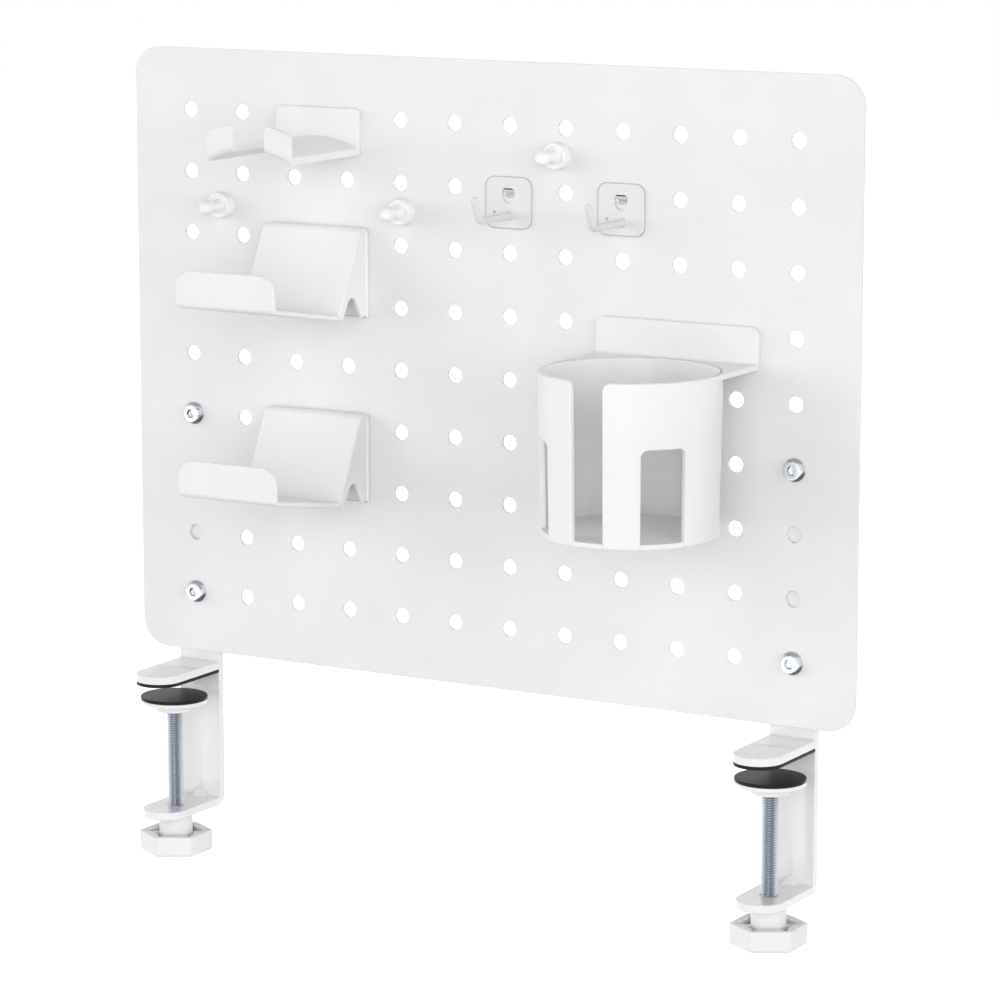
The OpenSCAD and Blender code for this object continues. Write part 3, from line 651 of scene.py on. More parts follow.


# Painted shade and a painted reflection on the screws: the thread's grooves are darker than its crests as
# painted shade, and the steel is darker where it faces the viewer as a painted reflection of something dark.
def paintScrewShadeAndReflection(material):
    tree = material.node_tree
    axes = axesOf(tree, tree.nodes.new("ShaderNodeTexCoord").outputs["Object"])
    across = mathNode(tree, "SUBTRACT", mathNode(tree, "ABSOLUTE", axes["X"]), clampX * mm)
    along = mathNode(tree, "SUBTRACT", axes["Y"], clampSizes["screwY"] * mm)
    acrossSquare = mathNode(tree, "MULTIPLY", across, across)
    alongSquare = mathNode(tree, "MULTIPLY", along, along)
    radius = mathNode(tree, "SQRT", mathNode(tree, "ADD", acrossSquare, alongSquare))
    crest = screwSizes["outer"] / 2 * mm
    groove = mapNode(tree, radius, crest - screwSizes["depth"] * mm, crest, threadPaintedShadeAndReflection["groove"], 1.0)
    # Painted reflection: the steel darkens where it faces the viewer
    facing = addNode(tree, "ShaderNodeLayerWeight", {"Blend": 0.5}).outputs["Facing"]
    side = mapNode(tree, facing, threadPaintedShadeAndReflection["facingLow"], threadPaintedShadeAndReflection["facingHigh"], 0.0, 1.0)
    paintDarkIntoFinish(material, mathNode(tree, "MULTIPLY", groove, side), threadPaintedShadeAndReflection["dark"])


# Painted reflections on the bolts and nuts: their colour darkens as if they mirrored a dark room below and a
# grey one above, each where their surface faces it.
def paintBoltReflection(material):
    tree = material.node_tree
    normal = tree.nodes.new("ShaderNodeTexCoord").outputs["Normal"]
    factors = []
    for room in boltPaintedReflection["rooms"]:
        dot = tree.nodes.new("ShaderNodeVectorMath")
        dot.operation = "DOT_PRODUCT"
        feed(tree, dot, {0: normal, 1: room["aim"]})
        factors.append(mapNode(tree, dot.outputs["Value"], room["low"], room["high"], 1.0, room["left"]))
    paintDarkIntoFinish(material, mathNode(tree, "MULTIPLY", *factors), boltPaintedReflection["dark"])


# Painted shade on the hook plates: their colour is darker on the rounded edges than on their faces, as a
# dark outline where shade gathers round the plates.
def paintEdgeShade(material):
    tree = material.node_tree
    axes = axesOf(tree, tree.nodes.new("ShaderNodeTexCoord").outputs["Normal"])
    flat = mathNode(tree, "ABSOLUTE", axes["Y"])
    factor = mapNode(tree, flat, edgePaintedShade["low"], edgePaintedShade["high"], 0.0, 1.0)
    paintDarkIntoFinish(material, factor, edgePaintedShade["dark"])


finish = {name: makeFinish(name, look) for name, look in finishes.items()}
print("finishes made:", len(finish))


# Panel: a solid border, with one pierced square repeated over the hole grid

panelSizes = {"width": 500, "height": 380, "lift": 13.5, "thick": 2, "cornerRadius": 18, "pitch": 38,
              "columns": 12, "rows": 9, "hole": 9.5, "edge": 0.3, "holeSides": 28, "weld": 0.01}
panelFront = -panelSizes["thick"]  # y of the face that the holders rest on
midHeight = panelSizes["lift"] + panelSizes["height"] / 2
clampX = (panelSizes["columns"] - 1) / 2 * panelSizes["pitch"]


def columnX(column):
    return (column - (panelSizes["columns"] + 1) / 2) * panelSizes["pitch"]


def rowZ(row):
    return midHeight + ((panelSizes["rows"] + 1) / 2 - row) * panelSizes["pitch"]


def middleX(columns):
    return (columnX(columns[0]) + columnX(columns[-1])) / 2


def middleZ(rows):
    return (rowZ(rows[0]) + rowZ(rows[-1])) / 2


# A flat plate over (x, z), whose upper side faces the viewer at y and whose body reaches back.
def upright(y):
    return lambda u, v, n: (u, y - n, v)


def stepped(low, high, count):
    return [low + (high - low) * i / count for i in range(count)]


def makePanel():
    p = panelSizes
    top = p["lift"] + p["height"]
    outer = boxOutline((-p["width"] / 2, p["lift"]), (p["width"] / 2, top), p["cornerRadius"])
    right, upper = p["columns"] * p["pitch"] / 2, p["rows"] * p["pitch"] / 2
    left, low, high = -right, midHeight - upper, midHeight + upper
    inner = [(x, low) for x in stepped(left, right, p["columns"])]
    inner += [(right, z) for z in stepped(low, high, p["rows"])]
    inner += [(x, high) for x in stepped(right, left, p["columns"])]
    inner += [(left, z) for z in stepped(high, low, p["rows"])]
    border = plate(outer, p["thick"], p["edge"], holes=[inner], steps=2, bare="holes").mapped(upright(0))
    half = p["pitch"] / 2
    hole = circleOutline((0, 0), p["hole"] / 2, p["holeSides"])
    square = boxOutline((-half, -half), (half, half))
    pierced = plate(square, p["thick"], p["edge"], holes=[hole], steps=1, bare="outside").mapped(upright(0))
    mesh = growOnGrid("panelSheet", border, pierced, "panelPaint", (p["columns"], p["rows"]),
                      (p["pitch"], p["pitch"]), (0, 0, midHeight), p["weld"])
    addPiece("panel_sheet", mesh, "panelPaint", "root", "pegboard_panel")


makePanel()
print("panel made")


# Clamps: a bent strip with its gusset, and the upper jaw with its rubber

clampSizes = {"width": 30, "thick": 5, "bend": 1.5, "over": 16, "reach": 81, "lowerJaw": 53.5,
              "upperJaw": 58.5, "rubber": 2, "rubberInset": 0.15, "rubberEdge": 0.3, "edge": 0.6,
              "boltRows": (6, 9), "screwY": -28.5, "screwHole": 10.1, "holeSides": 40, "gusset": 10.6,
              "gussetHeight": 5, "gussetTop": 2.6,
              "gussetFoot": [(0.9, -0.3), (0.9, 0), (0.2, 0.2), (-0.3, 0.8)], "gussetRoot": 1, "dent": 5,
              "dentDepth": 2.6, "dentCuts": 1.2, "dentCutCount": 4, "bendCuts": (1.5, 3), "weld": 1.2}


def jawOutline(inset):
    half = clampSizes["width"] / 2
    bow = arcPoints((0, half - clampSizes["upperJaw"]), half - inset, 180, 360, 6)
    return [(inset - half, -inset)] + bow + [(half - inset, -inset)]


def makeBracket(side, x):
    c = clampSizes
    middle, half = c["thick"] / 2, c["width"] / 2
    top = rowZ(c["boltRows"][0]) + c["over"]
    low = -c["reach"] - middle
    path = BentPath([(middle, top), (middle, low), (-c["lowerJaw"], low)], [c["bend"] + middle])
    outline = [(-half, 0), (half, 0)] + arcPoints((0, path.length - half), half, 0, 180, 6)
    screwAt = path.length - (c["lowerJaw"] + c["screwY"])
    hole = circleOutline((0, screwAt), c["screwHole"] / 2, c["holeSides"])
    cuts = path.cuts(10)
    bendStart, bendEnd = cuts[0][1], cuts[-1][1]
    bendMid = (bendStart + bendEnd) / 2
    cuts += [("v", bendStart - away) for away in c["bendCuts"]]
    cuts += [("v", bendEnd + away) for away in c["bendCuts"]]
    cuts += [("u", u * c["dentCuts"]) for u in range(-c["dentCutCount"], c["dentCutCount"] + 1)]

    # The back of the bend is dented where the gusset was pressed out.
    def bend(u, s, depth):
        n = c["thick"] - depth
        dent = 0.0
        if n < middle:
            away = math.hypot(u, s - bendMid) / c["dent"]
            dent = max(0.0, 1 - away * away) * c["dentDepth"] * (1 - n / middle)
        p = path.at(s, n - middle + dent)
        return (x + u, p.x, p.y)

    shape = plate(outline, c["thick"], c["edge"], holes=[hole], cuts=cuts).mapped(bend).turned()
    tip, base = c["gussetTop"], c["gusset"] / 2
    foot = [(base + out, up) for out, up in c["gussetFoot"]]
    crown = arcPoints((0, c["gussetHeight"] - tip), tip, 30, 90, 10)
    gusset = revolve([(0, -c["gussetRoot"])] + foot + crown, c["holeSides"])
    shape.join(gusset, (x, 0, -c["reach"]))
    addPiece("clamp_strip_" + side, shape, "clampPaint", "root", "clamp_bracket_" + side)

    jaw = plate(jawOutline(0), c["thick"], c["edge"])
    weld = filletBar(c["edge"] - half, half - c["edge"], c["weld"])
    tongue = Shape().join(jaw, (x, 0, c["rubber"])).join(weld, (x, 0, c["rubber"] + c["thick"]))
    addPiece("upper_tongue_" + side, tongue, "clampPaint", "root", "upper_jaw_" + side)
    pad = plate(jawOutline(c["rubberInset"]), c["rubber"], c["rubberEdge"], steps=2)
    addPiece("jaw_rubber_" + side, Shape().join(pad, (x, 0, 0)), "blackRubber", "root", "jaw_pad_" + side)


screwSizes = {"outer": 9.95, "depth": 0.7, "pitch": 1.5, "low": -107.8, "high": -14.9, "chamfer": 0.9,
              "sides": 40, "rings": 8}


def makeScrew(side, x, y):
    s = screwSizes
    rod = growRod("screwRod", "screwSteel", s, s["high"] - s["low"], (x, y, (s["low"] + s["high"]) / 2))
    addPiece("threaded_rod_" + side, rod, "screwSteel", side + "_screw", "clamp_screw_" + side)


# The disc has a neck with a blind hole for the rod's upper end.
discSizes = {"outer": 42, "top": -12.5, "thick": 2.5, "neck": 23.5, "neckHeight": 5, "edge": 0.6,
             "hole": 10.1, "holeDepth": 5.4, "holeRound": 0.4, "neckRound": 1.0, "rubber": 2,
             "rubberRounds": [0, 0.3, 0.4, 0], "sides": 96}


def makeDisc(side, x, y):
    d = discSizes
    low, e = d["top"] - d["thick"], d["edge"]
    neckLow = low - d["neckHeight"]
    holeTop, holeR = neckLow + d["holeDepth"], d["hole"] / 2
    rim, neck = d["outer"] / 2, d["neck"] / 2
    section = roundedOutline(
        [(0, holeTop), (holeR, holeTop), (holeR, neckLow), (neck, neckLow), (neck, low), (rim, low),
         (rim, d["top"]), (0, d["top"])], [0, 0, d["holeRound"], e, d["neckRound"], e, e, 0], 20)
    disc = Shape().join(revolve(section, d["sides"]), (x, y, 0))
    addPiece("pressure_plate_" + side, disc, "clampPaint", side + "_disc", "pressure_disc_" + side)
    corners = [(0, d["top"]), (rim, d["top"]), (rim, d["top"] + d["rubber"]), (0, d["top"] + d["rubber"])]
    section = roundedOutline(corners, d["rubberRounds"], 30)
    rubber = Shape().join(revolve(section, d["sides"]), (x, y, 0))
    addPiece("disc_rubber_" + side, rubber, "blackRubber", side + "_disc", "disc_pad_" + side)


# The knob is a six-sided cup that opens upwards, with a boss, ribs to its corners and bowed inner walls.
# Its rims are pairs: the inset from the wall's outer or inner face, and the drop from the wall's top.
knobSizes = {"top": -86.3, "boss": 21.1, "bossLength": 11.5, "hole": 10.2, "holeDepth": 3, "sides": 72,
             "bossRounds": [0, 0, 0.8, 0.5, 0], "radius": 23.4, "corner": 3.4, "height": 13, "wall": 3.2,
             "floor": 2.5, "root": 1, "draft": 0.1, "bow": 2.6, "bowBack": 0.8, "bowSink": 0.2,
             "bowDrop": 0.1, "ribThick": 2.8, "ribDrop": 1.4, "ribShort": 1.5, "ribCorner": 0.4,
             "ribEdge": 0.3, "ribs": 3, "lowRound": [(2.2, 0), (1.1, 0.25), (0.35, 0.9), (0, 2.0)],
             "outerRim": [(0, 0.8), (0.25, 0.22), (0.8, 0)], "innerRim": [(0.7, 0), (0.2, 0.2), (0, 0.7)]}


def makeKnob(side, x, y):
    k = knobSizes
    w, high, root = k["wall"], k["height"], k["root"]
    corners = [(k["radius"] * cosDeg(60 * i + 30), k["radius"] * sinDeg(60 * i + 30)) for i in range(6)]
    section = k["lowRound"] + [(inset, high - drop) for inset, drop in k["outerRim"]]
    section += [(w - inset, high - drop) for inset, drop in k["innerRim"]] + [(w + k["draft"], k["floor"])]
    knob = insetLoft(roundedOutline(corners, k["corner"], 9), section)
    bossR, holeR = k["boss"] / 2, k["hole"] / 2
    bossTop = high + k["bossLength"]
    holeLow = bossTop - k["holeDepth"]
    section = roundedOutline([(bossR, root), (bossR, k["floor"]), (bossR, bossTop), (holeR, bossTop),
                              (holeR, holeLow)], k["bossRounds"], 15)
    knob.join(revolve([(0, root)] + section + [(0, holeLow)], k["sides"]))
    reach = k["radius"] - w / 2 - k["ribShort"]
    along = boxOutline((bossR - root, root), (reach, high - k["ribDrop"]), k["ribCorner"])
    rib = plate(along, k["ribThick"], k["ribEdge"], steps=2)

    def toCorner(u, v, n):
        across = k["ribThick"] / 2 - n
        return (u * cosDeg(30) - across * sinDeg(30), u * sinDeg(30) + across * cosDeg(30), v)

    rib = rib.mapped(toCorner)
    wallAt = k["radius"] * cosDeg(30) - w
    half = k["radius"] / 2 - w
    bow = [(wallAt + k["bowBack"], -half), (wallAt + k["bowBack"], half)]
    bow += [(wallAt - k["bow"] * cosDeg(a), half * sinDeg(-a)) for a in range(-90, 91, 15)]
    bowed = plate(bow, high - k["floor"] - k["bowDrop"], k["ribEdge"], steps=2)
    rib.join(bowed, (0, 0, k["floor"] - k["bowSink"]))
    low = k["top"] - k["bossLength"] - high
    mesh = grow("knobBase", Shape().join(knob, (x, y, low)), turnTree, "knobWhite", {
        "Count": 2 * k["ribs"], "Turn": math.pi / k["ribs"], "Centre": meters(x, y, low)}, rib)
    addPiece("hand_knob_" + side, mesh, "knobWhite", side + "_screw", "clamp_knob_" + side)


paintScrewShadeAndReflection(finish["screwSteel"])
for side, sign in sides.items():
    makeBracket(side, sign * clampX)
    makeScrew(side, sign * clampX, clampSizes["screwY"])
    makeDisc(side, sign * clampX, clampSizes["screwY"])
    makeKnob(side, sign * clampX, clampSizes["screwY"])
print("clamps made")


# Button-head bolts and nuts, one of each repeated at the four holes

boltSizes = {"outer": 7.95, "pitch": 1.25, "depth": 0.65, "chamfer": 0.8, "sides": 32, "rings": 6,
             "sink": 1, "head": 14, "flat": 10.4, "headHeight": 4.4, "rim": 0.35,
             "headFoot": [(0.35, 0), (0.08, 0.08), (0.02, 0.3)], "flatDrop": 0.12, "flatOut": 0.1,
             "headSides": 60, "socket": 5, "socketDepth": 2.6, "socketLip": 1.07, "lipDepth": 0.2,
             "socketTip": 0.5, "nut": 13, "nutHeight": 6.5, "over": 1.5, "nutGap": 0.08, "nutEdge": 0.4,
             "nutSides": 48, "nutFace": 0.98, "nutSlope": 0.58}


def hexLoop(flats):
    corner = flats / 2 / cosDeg(30)
    return [(corner * cosDeg(60 * i), corner * sinDeg(60 * i)) for i in range(6)]


# A flat ring between two loops, facing up.
def capBetween(outer, inner, height):
    loops = [outer, inner[::-1]]
    points = [(p[0], p[1], height) for loop in loops for p in loop]
    faces = flatTriangles(loops)
    return Shape().add(points, faces, [flatWeight] * len(faces))


def makeBoltHead():
    b = boltSizes
    headR, flatR, high, rim = b["head"] / 2, b["flat"] / 2, b["headHeight"], b["rim"]
    domeZ = (high * high + flatR * flatR - headR * headR) / (2 * high)
    first = math.degrees(math.atan2(rim - domeZ, headR))
    last = math.degrees(math.atan2(high - b["flatDrop"] - domeZ, flatR + b["flatOut"]))
    dome = [(0, 0)] + [(headR - inset, up) for inset, up in b["headFoot"]]
    dome += arcPoints((0, domeZ), math.hypot(headR, domeZ), first, last, 6)[1:] + [(flatR - rim, high)]
    shape = revolve(dome, b["headSides"])
    wall = hexLoop(b["socket"])
    opening = [Vector(p) * b["socketLip"] for p in wall]
    shape.join(capBetween(circleOutline((0, 0), flatR - rim, b["headSides"]), opening, high))
    floor = high - b["socketDepth"]
    points = [(*p, high) for p in opening] + [(*p, high - b["lipDepth"]) for p in wall]
    points += [(*p, floor) for p in wall] + [(0, 0, floor - b["socketTip"])]
    faces = []
    for i in range(6):
        j = (i + 1) % 6
        faces += [(j, i, 6 + i, 6 + j), (6 + j, 6 + i, 12 + i, 12 + j), (12 + j, 12 + i, 18)]
    return shape.add(points, faces, [1.0] * len(faces))


# The bolt's own +z turns to -y.
def facingViewer(x, y, z):
    return (x, -z, y)


# Rings of (radius, height) run from the bore over both faces and back.
# Those without a radius follow the six flats.
def makeNut():
    b = boltSizes
    bore, edge, high, steps = b["outer"] / 2 + b["nutGap"], b["nutEdge"], b["nutHeight"], b["nutSides"]
    half = b["nut"] / 2
    levels = [(bore, edge), (bore + edge, 0), (None, 0), (None, high), (half * b["nutFace"], high),
              (bore + edge, high), (bore, high - edge)]
    nut = Shape()
    for level, (radius, height) in enumerate(levels):
        for i in range(steps):
            a = 360 * i / steps
            flat = half / cosDeg((a % 60) - 30)
            r = flat if radius is None else radius
            drop = max(0.0, flat - half) * b["nutSlope"] if radius is None and height > 0 else 0.0
            nut.points.append(Vector((r * cosDeg(a), r * sinDeg(a), height - drop)))
        nut.belt(level * steps, (level + 1) % len(levels) * steps, steps, 1.0)
    return nut.mapped(lambda x, y, z: (x, clampSizes["thick"] + z, -y))


def makeFasteners():
    b = boltSizes
    rows = clampSizes["boltRows"]
    spread = ("zincPlate", (2, 2), (2 * clampX, rowZ(rows[0]) - rowZ(rows[1])), (0, 0, middleZ(rows)))
    length = panelSizes["thick"] + clampSizes["thick"] + b["nutHeight"] + b["over"]
    shank = growRod("boltShank", "zincPlate", b, length + b["sink"], (0, 0, (b["sink"] - length) / 2))
    threads = Shape().add([v.co / mm for v in shank.vertices], [tuple(p.vertices) for p in shank.polygons],
                          [1.0] * len(shank.polygons))
    bolt = makeBoltHead().mapped(facingViewer).join(threads.mapped(facingViewer))
    mesh = growOnGrid("bolts", Shape(), Shape().join(bolt, (0, panelFront, 0)), *spread)
    addPiece("bracket_screws", mesh, "zincPlate", "root", "bracket_bolts")
    mesh = growOnGrid("nuts", Shape(), makeNut(), *spread)
    addPiece("bracket_nuts_dressed", mesh, "zincPlate", "root", "bracket_nuts")


paintBoltReflection(finish["zincPlate"])
makeFasteners()
print("bolts and nuts made")


# Pegs: a round stub through the panel and two springy halves behind it

pegSizes = {"diameter": 9.2, "reach": 5, "slit": 1.2, "chamfer": 0.8, "root": 2, "sides": 40,
            "endRound": [(0.4, 0.35), (1, 0)]}


def makePeg():
    p = pegSizes
    r, c = p["diameter"] / 2, p["chamfer"]
    thick = panelSizes["thick"]
    stub = revolve([(0, -p["root"]), (r, -p["root"]), (r, thick), (0, thick)], p["sides"])
    shape = stub.mapped(lambda x, y, z: (x, panelFront + z, -y))
    start = math.degrees(math.asin(p["slit"] / 2 / r))
    bow = arcPoints((0, 0), r, start - 90, 90 - start, 9)
    end = [(c * inset, p["reach"] - c * drop) for inset, drop in p["endRound"]]
    halfPeg = insetLoft(bow, [(0, 0), (0, p["reach"] - c)] + end)
    for sign in (1, -1):
        shape.join(halfPeg.mapped(lambda x, y, z: (x * sign, z, -y * sign)))
    return shape


# A holder with pegs at the crossings of these columns and rows, by the grid tree.
def addPegs(name, shape, columns, rows):
    steps = (columnX(columns[-1]) - columnX(columns[0]), panelSizes["pitch"])
    return growOnGrid(name, shape, makePeg(), "mouldedWhite", (len(columns), len(rows)), steps,
                      (middleX(columns), 0, middleZ(rows)))


# Headset holder: one arched sheet whose tips turn up, and a back plate

holderSizes = {"columns": (3, 4), "row": 1, "width": 59, "plateHeight": 27.8, "plateOver": 5.7,
               "thick": 4, "archRadius": 64, "archDrop": 15.5, "length": 79, "gap": 22.4,
               "gapLength": 41.5, "root": 1, "tipHeight": 16.5, "tipBend": 2.6, "edge": 0.7, "corner": 3,
               "rootCorner": 0.6, "archCuts": 3.0, "archCutCount": 9}


def makeHeadsetHolder():
    h = holderSizes
    midX, pegZ = middleX(h["columns"]), rowZ(h["row"])
    half, middle = h["width"] / 2, h["thick"] / 2
    top = pegZ + h["plateOver"]
    back = boxOutline((midX - half, top - h["plateHeight"]), (midX + half, top), h["corner"])
    shape = plate(back, h["thick"], h["edge"]).mapped(upright(panelFront))
    archZ = pegZ - h["archDrop"] - h["archRadius"]
    front, root = panelFront - h["length"], panelFront - h["root"]
    level = h["archRadius"] + middle
    tipY, tipTop = front + middle, h["archRadius"] + h["tipHeight"]
    path = BentPath([(root, level), (tipY, level), (tipY, tipTop)], [h["tipBend"]])
    g, c, end = h["gap"] / 2, h["corner"], path.length
    notch = root - (front + h["gapLength"])
    outline = roundedOutline(
        [(-half, 0), (half, 0), (half, end), (g, end), (g, notch), (-g, notch), (-g, end), (-half, end)],
        [h["rootCorner"]] * 2 + [c] * 6)
    across = range(-h["archCutCount"], h["archCutCount"] + 1)
    cuts = path.cuts(6) + [("u", u * h["archCuts"]) for u in across]

    def bend(u, s, n):
        p = path.at(s, -(n - middle), n / h["thick"])
        return (midX + u, p.x, archZ + math.sqrt(p.y * p.y - u * u))

    shape.join(plate(outline, h["thick"], h["edge"], cuts=cuts).mapped(bend))
    mesh = addPegs("headsetPegs", shape, h["columns"], (h["row"],))
    addPiece("headset_saddle", mesh, "mouldedWhite", "headset_rest", "headset_holder")


# Shelves: one sheet bent over the ridge, down the slope, along the ledge and up the lip, with two end webs

shelfSizes = {"columns": (3, 4), "width": 70, "thick": 3, "ridge": 48.1, "ridgeWidth": 10.5,
              "ridgeRadius": 5, "backDrop": 7.1, "footY": 34.6, "footDrop": 2.2, "length": 105.7,
              "rise": 9.5, "lip": 29, "lipCorner": 10.5, "footRadius": 1, "rootCorner": 0.8, "edge": 1.1,
              "webEdge": 1.0, "webInset": 1, "webOver": 0.6, "archPeak": 19, "archWidth": 22.4,
              "archStep": 1.5, "archOver": 0.9, "archShort": 0.2,
              "webRounds": [3, 3, 1, 0.5, 0.3, 0, 5.5, 0.4, 0.4]}


# An open path moved to the left of its own direction.
def insetPath(path, distance):
    made = []
    last = len(path) - 1
    for i, p in enumerate(path):
        a, b = Vector(path[max(i, 1) - 1]), Vector(path[max(i, 1)])
        c, d = Vector(path[min(i + 1, last) - 1]), Vector(path[min(i + 1, last)])
        before, after = (b - a).normalized(), (d - c).normalized()
        aim = Vector((-before.y - after.y, before.x + after.x))
        made.append(Vector(p) + aim * 2 * distance / aim.length_squared)
    return made


def makeShelf(name, row, body, node):
    s = shelfSizes
    midX, originZ = middleX(s["columns"]), rowZ(row)
    half, middle = s["width"] / 2, s["thick"] / 2
    lipY = s["length"] - s["thick"]
    ledgeEnd = math.tan(math.radians(s["rise"])) * (lipY - s["footY"]) - s["footDrop"]
    face = [(0, -s["backDrop"]), (0, s["ridge"]), (-s["ridgeWidth"], s["ridge"]),
            (-s["footY"], -s["footDrop"]), (-lipY, ledgeEnd), (-lipY, s["lip"])]
    core = insetPath(face, middle)
    path = BentPath(core, [s["ridgeRadius"] - middle] * 2 + [s["footRadius"] + middle] * 2)
    end = path.length
    outline = roundedOutline([(-half, 0), (half, 0), (half, end), (-half, end)],
                             [s["rootCorner"]] * 2 + [s["lipCorner"]] * 2)

    def bend(u, length, n):
        p = path.at(length, middle - n)
        return (midX + u, panelFront + p.x, originZ + p.y)

    shape = plate(outline, s["thick"], s["edge"], cuts=path.cuts(9)).mapped(bend)
    footLow = insetPath(face, s["thick"])[3][1]
    low = -s["backDrop"]
    archMid = (core[0][0] + core[3][0]) / 2
    archFront, archBack = archMid - s["archWidth"] / 2, archMid + s["archWidth"] / 2
    web = roundedOutline(
        [core[1], core[2], core[3], (core[3][0], footLow + s["webOver"]),
         (archFront - s["archStep"], footLow + s["archOver"]), (archFront, low + s["archShort"]),
         (archMid, s["archPeak"] - s["backDrop"]), (archBack, low), core[0]],
        s["webRounds"], 12)
    webPlate = plate(web, s["thick"], s["webEdge"])
    inner = half - s["webInset"] - s["thick"]
    for start in (-inner - s["thick"], inner):
        shape.join(webPlate.mapped(lambda u, v, n: (midX + start + n, panelFront + u, originZ + v)))
    mesh = addPegs(name + "Pegs", shape, s["columns"], (row - 1, row))
    addPiece(name, mesh, "mouldedWhite", body, node)


# Cup holder: a tapered wall, drawn flat with its slot and windows and wrapped round the cone,
# with a floor, and a flange that carries it on a back plate

cupSizes = {"columns": (9, 11), "row": 4, "rim": 106.4, "foot": 103, "height": 95, "wall": 3.7,
            "floor": 3, "gap": 1.8, "rimDrop": 16, "plateHeight": 25, "plateThick": 4, "plateOver": 5.5,
            "plateCorner": 5, "flange": 3.3, "slot": 20.5, "slotCorner": 5, "window": 27.8,
            "windowHeight": 57, "windowAngle": 50.5, "windowCorner": 4.5, "footCorner": 1.5, "edge": 0.9,
            "floorInset": 1, "floorEdge": 0.5, "sideReach": 0.5, "floorSides": 120, "fillet": 2,
            "cutAngle": 4, "firstCut": 3, "lastCut": 87}


def makeCup():
    c = cupSizes
    midX, pegZ = middleX(c["columns"]), rowZ(c["row"])
    rim, foot, h, e = c["rim"] / 2, c["foot"] / 2, c["height"], c["edge"]
    plateFront = panelFront - c["plateThick"]
    axisY = plateFront - c["gap"] - rim
    rimZ = pegZ - c["rimDrop"]
    lowZ = rimZ - h
    perDegree = math.radians(rim)

    def alongRim(width):
        return math.degrees(math.asin(width / 2 / rim)) * perDegree

    slot = alongRim(c["slot"])
    windowLow = c["windowAngle"] * perDegree - alongRim(c["window"])
    windowHigh = c["windowAngle"] * perDegree + alongRim(c["window"])
    whole = 2 * (180 * perDegree)
    sideOutline = [(slot, 0), (windowLow, 0), (windowLow, c["windowHeight"]),
                   (windowHigh, c["windowHeight"]), (windowHigh, 0)]
    sideRadii = [c["footCorner"]] * 2 + [c["windowCorner"]] * 2 + [c["footCorner"]]
    points = sideOutline + [(whole - u, v) for u, v in reversed(sideOutline)]
    points += [(whole - slot, h), (slot, h)]
    radii = sideRadii + sideRadii[::-1] + [c["slotCorner"]] * 2
    cuts = [("u", c["cutAngle"] * perDegree * i) for i in range(c["firstCut"], c["lastCut"] + 1)]
    flat = plate(roundedOutline(points, radii), c["wall"], e, cuts=cuts)

    def wrap(u, v, n):
        angle = u / perDegree - 90
        r = foot + (rim - foot) * v / h - c["wall"] + n
        return (midX + r * cosDeg(angle), axisY + r * sinDeg(angle), lowZ + v)

    shape = flat.mapped(wrap)
    floor = plate(circleOutline((0, 0), foot - c["floorInset"], c["floorSides"]), c["floor"], c["floorEdge"])
    shape.join(floor, (midX, axisY, lowZ))
    bow = arcPoints((0, 0), rim - c["wall"] / 2, 180, 0, 5)
    backY, sideY = plateFront + c["plateThick"] / 2 - axisY, c["sideReach"]
    flange = plate([(-rim, backY), (-rim, sideY)] + bow + [(rim, sideY), (rim, backY)], c["flange"])
    shape.join(flange, (midX, axisY, rimZ - c["flange"]))
    top = pegZ + c["plateOver"]
    back = boxOutline((midX - rim, top - c["plateHeight"]), (midX + rim, top), c["plateCorner"])
    shape.join(plate(back, c["plateThick"], e).mapped(upright(panelFront)))
    shape.join(filletBar(e - rim, rim - e, c["fillet"]), (midX, plateFront, rimZ))
    mesh = addPegs("cupPegs", shape, c["columns"], (c["row"],))
    addPiece("cup_ring", mesh, "mouldedWhite", "cup", "cup_holder")


makeHeadsetHolder()
makeShelf("leaning_shelf_upper", 4, "upper_shelf", "shelf_upper")
makeShelf("leaning_shelf_lower", 7, "lower_shelf", "shelf_lower")
makeCup()
print("holders made")


# Hooks: a sheet plate with a tongue through the panel, and a bent rod

hookSizes = {"row": 2, "width": 31.3, "height": 31, "sheet": 1.2, "corner": 6, "over": 7.9, "edge": 1.1,
             "window": 8, "windowDrop": 0.2, "windowEdge": 0.3, "vent": (-9.3, -13.4), "ventRadius": 0.8,
             "ventSides": 16, "rodSides": 28, "tongue": 7.8, "tongueWidth": 6.8, "tongueBend": 0.7,
             "tongueCorner": 0.5, "tongueEdge": 0.25, "slope": 40, "behind": 0.3, "rod": 4.4,
             "length": 37.3, "tip": 16, "lean": 23, "bend": 4.4, "rodSide": 1.2, "rodDrop": 15.1,
             "weld": [(1.0, 0), (0.25, 0.35), (0, 1.0)]}


